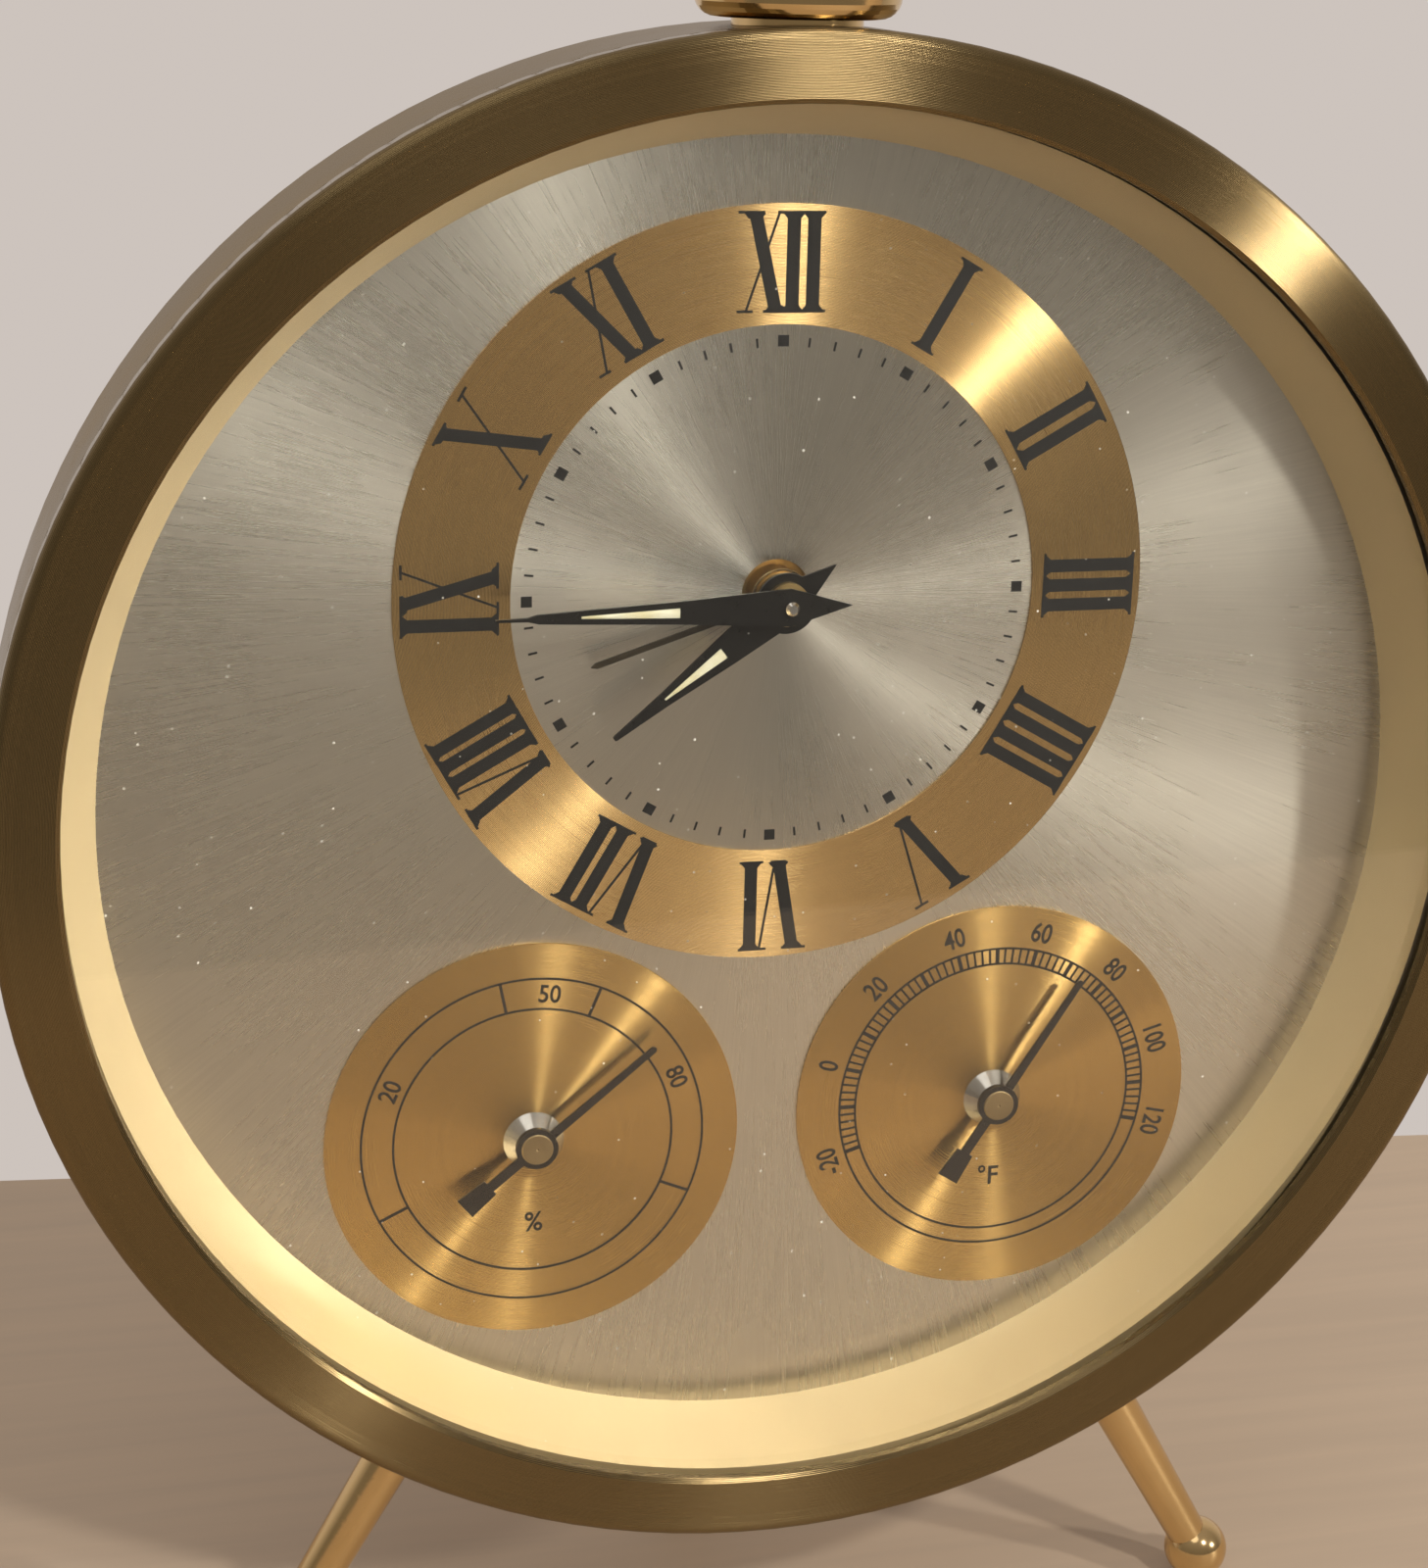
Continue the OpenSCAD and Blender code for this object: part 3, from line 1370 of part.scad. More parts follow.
// Pin lever: two steel pins stand in the plane of the escape wheel, and a fork reaches
// towards the impulse pin of the balance.
module pallet_lever() {
  color("#c9a54f") at_clock(pallet_pos) rotate([0, -balance_dir, 0]) {
    slab(pallet_y, pallet_thick) difference() {
      union() {
        circle(pallet_hub_r);
        for (side = [-1, 1]) {
          arm_outline([0, 0], polar(pallet_arm, 180 - side * (90 - pallet_half_span)), pallet_arm_w);
        }
        translate([0, -fork_stem_w / 2]) square([fork_len - fork_slot_len, fork_stem_w]);
        translate([fork_len - fork_slot_len - fork_lap, -fork_half_w])
          square([fork_slot_len + fork_lap, fork_half_w * 2]);
      }
      circle(pivot_r + running_gap);
      translate([fork_len - fork_slot_len, -fork_slot_w / 2]) square([fork_slot_len + past, fork_slot_w]);
    }
  }
  color("#b8b8b8") at_clock(pallet_pos) rotate([0, -balance_dir, 0]) {
    for (side = [-1, 1]) {
      translate([pallet_arm * cos(180 - side * (90 - pallet_half_span)), 0,
        pallet_arm * sin(180 - side * (90 - pallet_half_span))]) {
        rod(pallet_pin_r, escape_wheel_y - stud_proud,
          pallet_y - escape_wheel_y + stud_proud + pallet_thick / 2);
      }
    }
  }
}

module balance_wheel() {
  color("#c9a54f") at_clock(balance_pos) {
    train_arbor(escape_arbor_r);
    slab(balance_y, balance_thick) difference() {
      union() {
        ring(balance_r, balance_r - balance_rim);
        translate([-balance_r + balance_rim / 2, -balance_arm_w / 2])
          square([balance_r * 2 - balance_rim, balance_arm_w]);
        circle(balance_hub_r);
      }
      circle(filled_bore_r);
    }
    rod(impulse_pin_dist + roller_edge, roller_y, roller_thick);
    rotate([0, -balance_dir - 180, 0]) translate([impulse_pin_dist, 0, 0]) {
      rod(impulse_pin_r, pallet_y - join, roller_y - pallet_y + join + roller_thick / 2);
    }
  }
}

module hairspring() {
  color("#8fa0b8") at_clock(balance_pos) slab(hairspring_y, hairspring_h) {
    spiral_outline(hairspring_inner_r, hairspring_outer_r, hairspring_turns, hairspring_strip, 24);
  }
}

module regulator() {
  color("#b8b8b8") at_clock(balance_pos) {
    slab(back_plate_rear_y + regulator_gap, regulator_thick) difference() {
      union() {
        circle(regulator_boss_r + 1);
        arm_outline([0, 0], [regulator_len, 0], regulator_arm_w);
      }
      circle(regulator_boss_r + running_gap);
    }
    translate([regulator_len, 0, 0])
      rod(regulator_pin_r, back_plate_rear_y + regulator_pin_sink,
        cover_rear_y - back_plate_rear_y + regulator_pin_proud);
  }
}

// Toothed barrel with the coiled mainspring inside.
module barrel(great_y, turn) {
  difference() {
    union() {
      rod(barrel_r, barrel_front_y, great_y - barrel_front_y);
      slab(great_y, great_thick) wheel_outline(great_module, great_teeth, turn);
    }
    difference() {
      rod(barrel_r - barrel_wall, barrel_front_y + barrel_wall, great_y - barrel_front_y - barrel_wall);
      slab(barrel_front_y + barrel_wall, great_y - barrel_front_y - barrel_wall) {
        spiral_outline(mainspring_inner_r, barrel_r - barrel_wall - mainspring_strip / 2,
          mainspring_turns, mainspring_strip, 24);
      }
    }
    rod(barrel_arbor_r + running_gap, barrel_front_y - past,
      great_y + great_thick - barrel_front_y + past * 2);
  }
}

module time_barrel() {
  color("#c9a54f") at_clock(time_barrel_pos) barrel(time_great_y, time_great_turn);
}

module alarm_barrel() {
  color("#c9a54f") at_clock(alarm_barrel_pos) barrel(alarm_great_y, 0);
}

module winding_arbor() {
  rod(arbor_r, front_plate_y + end_shake, plate_thick);
  rod(barrel_arbor_r, plate_inside_y + end_shake, ratchet_y - plate_inside_y);
  slab(ratchet_y, ratchet_thick) difference() {
    saw_outline(ratchet_r, ratchet_r - ratchet_depth, ratchet_teeth, click_dir, 0.75);
    circle(filled_bore_r);
  }
  rod(key_arbor_r, ratchet_y + ratchet_thick / 2, knob_y + key_hub_depth - 1 - ratchet_y - ratchet_thick / 2);
}

module time_winding_arbor() {
  color("#b8b8b8") at_clock(time_barrel_pos) winding_arbor();
}

module alarm_winding_arbor() {
  color("#b8b8b8") at_clock(alarm_barrel_pos) winding_arbor();
}

// Butterfly key: a hub on the arbor with two round wings that stand out to the back.
module winding_key() {
  difference() {
    union() {
      rod(key_hub_r, knob_y, key_hub_depth);
      for (side = [-1, 1]) {
        translate([side * key_wing_mid, knob_y + key_wing_r + key_wing_seat, -key_wing_thick / 2]) {
          cylinder(r = key_wing_r, h = key_wing_thick);
        }
        translate([side > 0 ? 0 : -key_wing_mid, knob_y + 1, -key_wing_thick / 2]) {
          cube([key_wing_mid, key_hub_depth - 1, key_wing_thick]);
        }
      }
    }
    rod(key_arbor_r, knob_y - past, key_hub_depth + past - 1);
    for (side = [-1, 1]) {
      translate([side * key_wing_mid, knob_y + key_wing_r + key_wing_seat, -key_wing_thick]) {
        cylinder(r = key_wing_hole_r, h = key_wing_thick * 2);
      }
    }
  }
}

module time_key() {
  color("#c9b27a") at_clock(time_barrel_pos) winding_key();
}

module alarm_key() {
  color("#c9b27a") at_clock(alarm_barrel_pos) winding_key();
}

module alarm_verge_wheel() {
  color("#c9a54f") at_clock(verge_pos) {
    train_arbor(arbor_thin_r);
    slab(verge_wheel_y, verge_wheel_thick) difference() {
      saw_outline(verge_r, verge_root_r, verge_teeth, hammer_dir, 0.4);
      circle(filled_bore_r);
    }
    slab(alarm_great_y - pinion_side, great_thick + pinion_side * 2)
      pinion_outline(great_module, centre_pinion_teeth, verge_pinion_turn);
  }
}

// Rocking verge of the alarm, with the hammer arm behind the back plate.
module alarm_hammer() {
  color("#b8b8b8") at_clock(hammer_pos) {
    rod(pivot_r, front_plate_y + end_shake, hammer_arm_y - front_plate_y + hammer_arm_thick - end_shake);
    rod(arbor_thin_r, plate_inside_y + end_shake, plate_gap - end_shake * 2);
    slab(verge_wheel_y, verge_wheel_thick) {
      arm_outline([0, 0], verge_nib_left, verge_nib_w);
      arm_outline([0, 0], verge_nib_right, verge_nib_w);
    }
    slab(hammer_tail_y, hammer_tail_thick) arm_outline([0, 0], hammer_tail, hammer_arm_w);
    slab(hammer_arm_y, hammer_arm_thick) {
      circle(hammer_hub_r);
      arm_outline([0, 0], hammer_head, hammer_arm_w);
    }
    translate([hammer_head[0], 0, hammer_head[1]])
      rod(hammer_head_r, hammer_arm_y - hammer_head_sink, hammer_head_h);
  }
}

// Pawl whose nose lies behind a tooth of the ratchet wheel and stops it running back.
module ratchet_click() {
  slab(ratchet_y, ratchet_thick) difference() {
    union() {
      circle(click_hub_r);
      polygon([
        click_nose_foot - click_offset, click_nose_back - click_offset,
        polar(click_waist, click_dir), polar(click_waist, click_dir + 180),
        click_nose_front - click_offset
      ]);
    }
    circle(click_stud_r + running_gap);
  }
}

module time_click() {
  color("#b8b8b8") at_clock(time_barrel_pos + click_offset) ratchet_click();
}

module alarm_click() {
  color("#b8b8b8") at_clock(alarm_barrel_pos + click_offset) ratchet_click();
}

placed() case_drum();
placed() bezel_ring();
placed() crystal();
placed() inner_ring();
placed() dial_plate();
placed() chapter_ring();
placed() hygrometer_disc();
placed() thermometer_disc();
placed() rear_cover();
placed() cover_screws();
placed() leg_left();
placed() leg_right();
placed() leg_rear();
placed() leg_collars();
placed() leg_nuts();
placed() alarm_button();
placed() button_neck();
placed() button_spring();
placed() stop_lever();
placed() minute_hand();
placed() hour_hand();
placed() alarm_hand();
placed() centre_arbor();
placed() hand_pin();
placed() hour_wheel();
placed() alarm_wheel();
placed() minute_wheel();
placed() set_hands_knob();
placed() alarm_set_arbor();
placed() alarm_set_knob();
placed() hygrometer_pointer();
placed() hygrometer_cap();
placed() hygrometer_cup();
placed() hygrometer_coil();
placed() thermometer_pointer();
placed() thermometer_cap();
placed() thermometer_cup();
placed() thermometer_coil();
placed() front_plate();
placed() back_plate();
placed() movement_pillars();
placed() plate_nuts();
placed() centre_wheel();
placed() third_wheel();
placed() fourth_wheel();
placed() escape_wheel();
placed() pallet_lever();
placed() balance_wheel();
placed() hairspring();
placed() regulator();
placed() time_barrel();
placed() time_winding_arbor();
placed() alarm_barrel();
placed() alarm_winding_arbor();
placed() time_key();
placed() alarm_key();
placed() time_click();
placed() alarm_click();
placed() alarm_verge_wheel();
placed() alarm_hammer();
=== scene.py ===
"""Looks of a round brass table clock with a weather dial.

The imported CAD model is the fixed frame. The operators below give its nodes their finishes
and add what is printed or painted on the dials and hands: the Roman numerals, the minute
track, the weather scales and the luminous strips.
Every length is in millimetres in the panel's settings and in metres in the scene.
"""

import math

import bmesh
import bpy
from bpy.props import FloatProperty, FloatVectorProperty, PointerProperty
from mathutils import Matrix, Vector
from mathutils.geometry import delaunay_2d_cdt


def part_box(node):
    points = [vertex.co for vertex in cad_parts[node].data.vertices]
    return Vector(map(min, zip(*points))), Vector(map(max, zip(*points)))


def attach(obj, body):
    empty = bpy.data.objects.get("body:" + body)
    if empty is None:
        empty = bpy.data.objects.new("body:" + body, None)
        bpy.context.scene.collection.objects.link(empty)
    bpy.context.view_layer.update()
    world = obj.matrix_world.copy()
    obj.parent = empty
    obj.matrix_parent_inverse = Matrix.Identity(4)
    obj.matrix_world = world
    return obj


bl_info = {
    "name": "Weather Dial Table Clock",
    "version": (1, 0, 0),
    "blender": (4, 5, 0),
    "location": "View3D > Sidebar > Clock",
    "description": "Finishes, prints and studio of a brass table clock with a weather dial",
    "category": "Object",
}

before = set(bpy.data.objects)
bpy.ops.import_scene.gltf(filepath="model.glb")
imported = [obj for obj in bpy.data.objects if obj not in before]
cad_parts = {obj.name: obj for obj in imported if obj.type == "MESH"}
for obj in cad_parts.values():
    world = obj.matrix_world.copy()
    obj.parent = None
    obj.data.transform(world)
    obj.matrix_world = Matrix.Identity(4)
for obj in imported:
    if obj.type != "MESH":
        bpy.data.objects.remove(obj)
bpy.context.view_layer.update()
MM = 0.001


def middle(node):
    """Centre of a CAD node's box."""
    low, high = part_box(node)
    return (low + high) / 2


CASE_AXIS = middle("bezel_ring")
CLOCK_CENTRE = middle("chapter_ring")
HYGROMETER_CENTRE = middle("hygrometer_disc")
THERMOMETER_CENTRE = middle("thermometer_disc")
RING_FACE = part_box("chapter_ring")[0].y
DIAL_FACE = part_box("chapter_ring")[1].y


# ---- settings


def length(name, text, default):
    """A length in millimetres."""
    return FloatProperty(name=name, description=text, default=default, min=0, precision=2)


def tint(name, text, default):
    """A colour, in linear light."""
    return FloatVectorProperty(
        name=name, description=text, default=default, size=3, min=0, max=1, subtype="COLOR"
    )


def watts(name, text, default):
    """A lamp's power in watts."""
    return FloatProperty(name=name, description=text, default=default, min=0, unit="POWER")


class ClockFinishSettings(bpy.types.PropertyGroup):
    """Colours of the metals, lacquers and prints."""

    polished_brass: tint("Polished brass", "Drum, legs and button", (0.74, 0.53, 0.26))
    # Painted shade: the bezel brass is darker than the brass itself, a painted dark reflection of
    # the dim room in front of the face.
    bezel_brass: tint("Bezel brass", "Lathe-brushed face of the bezel", (0.228, 0.165, 0.079))
    gold: tint("Gold", "Weather discs", (0.6, 0.39, 0.135))
    ring_gold: tint("Ring gold", "Chapter ring", (0.72, 0.485, 0.21))
    # Partly tarnish, partly painted shade: the darker drum brass and its dimmed edge tint stand in
    # for the shadowed wall it reflects at a flat angle.
    drum_brass: tint("Drum brass", "Dulled brass of the drum and the rear cover", (0.5, 0.4, 0.25))
    silver: tint("Silver", "Sunray-brushed dial", (0.7, 0.66, 0.58))
    cream: tint("Cream gold", "Lacquered ring between the glass and the dial", (0.67, 0.53, 0.295))
    ink: tint("Ink", "Numerals, tracks and scales", (0.006, 0.0055, 0.005))
    luminous: tint("Luminous paint", "Strips in the two hands", (0.78, 0.76, 0.58))
    steel: tint("Steel", "Arbors, screws and springs", (0.55, 0.55, 0.56))
    movement: tint("Movement brass", "Plates and wheels", (0.66, 0.47, 0.20))


class ClockDialSettings(bpy.types.PropertyGroup):
    """Sizes of what is printed on the upper dial."""

    numeral_foot: length("Numeral foot", "Radius at the foot of the numerals", 22.9)
    numeral_top: length("Numeral top", "Radius at the top of the numerals", 30.85)
    stroke: length("Thick stroke", "Width of a thick stroke", 1.08)
    hairline: length("Thin stroke", "Width of a thin stroke", 0.2)
    serif: length("Serif", "Height of a serif", 0.2)
    track_inner: length("Track inner", "Inner radius of the minute marks", 20.2)
    track_outer: length("Track outer", "Outer radius of the minute marks", 20.95)
    mark_width: length("Mark width", "Width of a minute mark", 0.18)
    hour_mark: length("Hour mark", "Side of the square hour marks", 0.9)
    print_height: length("Print height", "Thickness of the printed ink", 0.03)


class ClockWeatherSettings(bpy.types.PropertyGroup):
    """Sizes of the scales on the two weather discs."""

    hygro_outer: length("Humidity outer circle", "Radius of the outer circle", 14.65)
    hygro_inner: length("Humidity inner circle", "Radius of the inner circle", 11.95)
    thermo_outer: length("Temperature outer circle", "Radius of the outer circle", 13.92)
    thermo_inner: length("Temperature inner circle", "Radius of the inner circle", 12.52)
    line_width: length("Line width", "Width of a scale line", 0.18)
    bold_width: length("Bold width", "Width of a main mark", 0.34)
    digit_height: length("Digit height", "Height of the numbers", 1.8)
    digit_radius: length("Digit radius", "Radius of the temperature numbers", 15.58)


class ClockStudioSettings(bpy.types.PropertyGroup):
    """Table, lamps and camera."""

    wall: tint("Wall", "Colour behind the clock", (0.61, 0.55, 0.51))
    room: tint("Room", "Dim room in front of the clock", (0.21, 0.185, 0.155))
    table: tint("Table", "Plain pale table top", (0.6, 0.47, 0.345))
    key_power: watts("Key lamp", "Power of the key lamp", 3.3)
    top_power: watts("Top lamp", "Power of the top lamp", 3.0)
    fill_power: watts("Fill lamp", "Power of the fill lamp", 1.0)
    lens: FloatProperty(
        name="Lens", description="Focal length of the camera", default=65.38, min=1, unit="CAMERA")


# ---- node helpers


def feed(tree, node, inputs):
    """Sets a node's inputs to values, or links sockets to them."""
    for key, value in inputs.items():
        if isinstance(value, bpy.types.NodeSocket):
            tree.links.new(value, node.inputs[key])
        else:
            node.inputs[key].default_value = value


def put(tree, kind, inputs=None, **attributes):
    """Adds a node, sets its attributes, and sets or links its inputs."""
    made = tree.nodes.new(kind)
    for name, value in attributes.items():
        setattr(made, name, value)
    feed(tree, made, inputs or {})
    return made


def noise(tree, scale, detail, vector, **inputs):
    """Value of a noise texture."""
    return put(tree, "ShaderNodeTexNoise", {
        "Vector": vector, "Scale": scale, "Detail": detail, **inputs}).outputs[0]


def noise_along(tree, distance, scale, detail):
    """Value of a noise texture that varies with one distance only."""
    return put(tree, "ShaderNodeTexNoise", {"W": distance, "Scale": scale, "Detail": detail},
               noise_dimensions="1D").outputs[0]


def object_place(tree):
    """Object coordinates."""
    return put(tree, "ShaderNodeTexCoord").outputs["Object"]


def maths(tree, operation, a, b=0.0, c=0.0):
    """Result of a Math node."""
    return put(tree, "ShaderNodeMath", {0: a, 1: b, 2: c}, operation=operation).outputs[0]


def new_group(name, kind, inputs, outputs):
    """An empty node group, what it is given and its output node.

    A socket is named with its kind and, where it has one, its default.
    """
    group = bpy.data.node_groups.new(name, kind)
    for way, sockets in (("INPUT", inputs), ("OUTPUT", outputs)):
        for label, holds, *default in sockets:
            socket = group.interface.new_socket(
                label, in_out=way, socket_type="NodeSocket" + holds)
            if default:
                socket.default_value = default[0]
    given = group.nodes.new("NodeGroupInput").outputs
    return group, given, group.nodes.new("NodeGroupOutput")


def use_group(tree, name, inputs):
    """Places a shader node group in a material."""
    return put(tree, "ShaderNodeGroup", inputs, node_tree=bpy.data.node_groups[name]).outputs


def radius_of(tree, vector):
    """Distance from the Y axis of a centred vector, and its parts."""
    parts = put(tree, "ShaderNodeSeparateXYZ", {0: vector}).outputs
    squares = maths(tree, "ADD", maths(tree, "MULTIPLY", parts["X"], parts["X"]),
                    maths(tree, "MULTIPLY", parts["Z"], parts["Z"]))
    return maths(tree, "SQRT", squares), parts


# Turned grooves: a full turn of the sine, the rate of the uneven lines, how much lines and
# sine add to the height, its level, and how slowly the broad pattern varies.
ONE_TURN = 6.2832
LINE_NOISE = 1.6
LINE_SHARE = 0.2
WAVE_SHARE = 0.25
WAVE_LEVEL = 0.4
BROAD_RATE = 0.2


def make_groove_group():
    """Fine grooves turned round a centre: a fine line pattern and a broad one."""
    group, given, out = new_group(
        "turned_grooves", "ShaderNodeTree",
        [("Vector", "Vector"), ("Pitch", "Float", 0.15 * MM), ("Wander", "Float", 0.35)],
        [("Fine", "Float"), ("Broad", "Float")])
    radius, _ = radius_of(group, given["Vector"])
    rate = maths(group, "DIVIDE", 1.0, given["Pitch"])
    along = maths(group, "MULTIPLY", radius, rate)
    line = noise_along(group, along, LINE_NOISE, 0.0)
    wave = maths(group, "SINE", maths(group, "MULTIPLY", along, ONE_TURN))
    fine = maths(group, "ADD", maths(group, "MULTIPLY", line, LINE_SHARE),
                 maths(group, "MULTIPLY_ADD", wave, WAVE_SHARE, WAVE_LEVEL))
    broad = noise_along(group, maths(group, "MULTIPLY", along, BROAD_RATE), 1.0, 3.0)
    cloud = noise(group, 60.0, 2.0, given["Vector"])
    steady = maths(group, "SUBTRACT", 1.0, given["Wander"])
    mixed = maths(group, "ADD", maths(group, "MULTIPLY", broad, steady),
                  maths(group, "MULTIPLY", cloud, given["Wander"]))
    feed(group, out, {"Fine": fine, "Broad": mixed})


def make_sunray_group():
    """Straight scratches that run out from a centre: a fine line pattern and a broad one."""
    group, given, out = new_group(
        "sunray_brushing", "ShaderNodeTree",
        [("Vector", "Vector"), ("Lines", "Float", 220.0)],
        [("Fine", "Float"), ("Broad", "Float")])
    radius, parts = radius_of(group, given["Vector"])
    across = maths(group, "DIVIDE", parts["X"], radius)
    upward = maths(group, "DIVIDE", parts["Z"], radius)
    slow = maths(group, "MULTIPLY", radius, 90.0)
    for name, share, detail in (("Fine", 1.0, 2.0), ("Broad", 0.08, 3.0)):
        turns = maths(group, "MULTIPLY", given["Lines"], share)
        spot = put(group, "ShaderNodeCombineXYZ", {
            "X": maths(group, "MULTIPLY", across, turns), "Y": slow,
            "Z": maths(group, "MULTIPLY", upward, turns)}).outputs[0]
        feed(group, out, {name: noise(group, 1.0, detail, spot)})


def make_dust_group():
    """Scattered specks of dust and lint."""
    group, given, out = new_group(
        "dust_specks", "ShaderNodeTree",
        [("Vector", "Vector"), ("Spacing", "Float", 1.4 * MM), ("Size", "Float", 0.06),
         ("Share", "Float", 0.5)],
        [("Specks", "Float")])
    cells = put(group, "ShaderNodeTexVoronoi", {
        "Vector": given["Vector"], "Scale": maths(group, "DIVIDE", 1.0, given["Spacing"])})
    chance = put(group, "ShaderNodeSeparateColor", {0: cells.outputs["Color"]}).outputs
    uneven = maths(group, "MULTIPLY_ADD", chance[1], 1.6, 0.4)
    reach = maths(group, "MULTIPLY", given["Size"], uneven)
    near = maths(group, "LESS_THAN", cells.outputs["Distance"], reach)
    kept = maths(group, "LESS_THAN", chance[0], given["Share"])
    shade = maths(group, "MULTIPLY_ADD", chance[2], 0.7, 0.3)
    shown = maths(group, "MULTIPLY", near, kept)
    feed(group, out, {"Specks": maths(group, "MULTIPLY", shown, shade)})


def make_handling_group():
    """Faint smudges and hairline scratches of a metal that is handled and polished."""
    group, given, out = new_group(
        "handling_marks", "ShaderNodeTree",
        [("Vector", "Vector"), ("Scale", "Float", 45.0)],
        [("Smudge", "Float"), ("Scratch", "Float")])
    smudge = noise(group, given["Scale"], 4.0, given["Vector"], Roughness=0.62, Distortion=0.4)
    stretched = put(group, "ShaderNodeMapping", {
        "Vector": given["Vector"], "Rotation": (0.3, 0.9, 0.5),
        "Scale": (1.0, 14.0, 9.0)}).outputs[0]
    streaks = noise(group, maths(group, "MULTIPLY", given["Scale"], 3.0), 5.0, stretched)
    feed(group, out, {
        "Smudge": smudge, "Scratch": spread(group, streaks, 0.62, 0.72, 0.0, 1.0)})


def centred(tree, centre):
    """Object coordinates measured from a centre."""
    return put(tree, "ShaderNodeMapping", {
        "Vector": object_place(tree), "Location": tuple(-Vector(centre))}).outputs[0]


def shade_of(colour, share):
    """A darker or lighter neighbour of a colour."""
    return opaque(min(1.0, part * share) for part in colour)


def blend_colour(tree, mask, first, second):
    """Mixes two colours by a mask."""
    return put(tree, "ShaderNodeMix", {0: mask, 6: first, 7: second},
               data_type="RGBA").outputs[2]


def spread(tree, value, low, high, to_low, to_high):
    """Maps a value from one range to another."""
    return put(tree, "ShaderNodeMapRange", {
        "Value": value, "From Min": low, "From Max": high,
        "To Min": to_low, "To Max": to_high}).outputs[0]


def opaque(colour):
    """A colour with full alpha."""
    return tuple(colour) + (1.0,)


def mottled(tree, value, colour, dark, light):
    """A colour that a value between 0.3 and 0.7 takes from its dark to its light neighbour."""
    return blend_colour(tree, spread(tree, value, 0.3, 0.7, 0.0, 1.0),
                        shade_of(colour, dark), shade_of(colour, light))


def start_material(name):
    """A material with its Principled shader and output."""
    material = bpy.data.materials.new(name)
    material.use_nodes = True
    tree = material.node_tree
    tree.nodes.clear()
    shader = tree.nodes.new("ShaderNodeBsdfPrincipled")
    output = tree.nodes.new("ShaderNodeOutputMaterial")
    tree.links.new(shader.outputs[0], output.inputs["Surface"])
    return material, tree, shader, output


def bump(tree, height, distance, strength):
    """Normal of a surface with a height on it."""
    return put(tree, "ShaderNodeBump", {
        "Height": height, "Distance": distance, "Strength": strength}).outputs[0]


# ---- finishes


# The gold and the bezel: pitch of their turned grooves in millimetres, and how far the lines
# darken or lighten the colour. The dial: number and contrast of its scratches.
GROOVE_PITCH = 0.11
GROOVE_CONTRAST = 0.12
SUNRAY_LINES = 300.0
SUNRAY_CONTRAST = 0.05
DUST_COLOUR = (0.86, 0.83, 0.78)


def brushed_metal(name, colour, centre, kind, rough, stretch, depth, dust=0.0):
    """Metal with grooves turned round a centre or scratches that run out from it.

    The depth of the grooves or scratches is in millimetres.
    """
    material, tree, shader, _ = start_material(name)
    place = centred(tree, centre)
    parts = put(tree, "ShaderNodeSeparateXYZ", {0: place}).outputs
    if kind == "turned":
        marks = use_group(tree, "turned_grooves", {"Vector": place, "Pitch": GROOVE_PITCH * MM})
        contrast = GROOVE_CONTRAST
        along = {"X": parts["X"], "Z": parts["Z"]}
    else:
        marks = use_group(tree, "sunray_brushing", {"Vector": place, "Lines": SUNRAY_LINES})
        contrast = SUNRAY_CONTRAST
        along = {"X": parts["Z"], "Z": maths(tree, "MULTIPLY", parts["X"], -1.0)}
    along = put(tree, "ShaderNodeCombineXYZ", along).outputs[0]
    tone = maths(tree, "ADD", maths(tree, "MULTIPLY", marks["Fine"], 0.75),
                 maths(tree, "MULTIPLY", marks["Broad"], 0.25))
    base, metallic = mottled(tree, tone, colour, 1.0 - contrast, 1.0 + contrast), 1.0
    if dust:
        specks = use_group(tree, "dust_specks", {
            "Vector": object_place(tree), "Share": dust})["Specks"]
        base = blend_colour(tree, specks, base, opaque(DUST_COLOUR))
        metallic = maths(tree, "SUBTRACT", 1.0, specks)
    handled = use_group(tree, "handling_marks", {"Vector": place, "Scale": 38.0})
    gloss = maths(tree, "ADD", spread(tree, marks["Fine"], 0.2, 0.8, rough - 0.02, rough + 0.02),
                  spread(tree, handled["Smudge"], 0.3, 0.7, -0.01, 0.03))
    feed(tree, shader, {
        "Base Color": base, "Metallic": metallic, "Roughness": gloss, "Anisotropic": stretch,
        "Tangent": put(tree, "ShaderNodeVectorMath", {0: along}, operation="NORMALIZE").outputs[0],
        "Normal": bump(tree, marks["Fine"], depth * MM, 1.0)})
    return material


def polished_metal(name, colour, rough, smudge, scale=45.0, edge=(1.0, 1.0, 1.0)):
    """Polished or satin metal with faint smudges and hairlines, edge tints it at a flat angle."""
    material, tree, shader, _ = start_material(name)
    handled = use_group(tree, "handling_marks", {"Vector": object_place(tree), "Scale": scale})
    worn = maths(tree, "ADD", spread(tree, handled["Smudge"], 0.3, 0.7, rough, rough + smudge),
                 maths(tree, "MULTIPLY", handled["Scratch"], 0.08))
    feed(tree, shader, {
        "Base Color": mottled(tree, handled["Smudge"], colour, 0.85, 1.1),
        "Metallic": 1.0, "Specular Tint": opaque(edge), "Roughness": worn,
        "Normal": bump(tree, handled["Scratch"], 0.01 * MM, 0.25)})
    return material


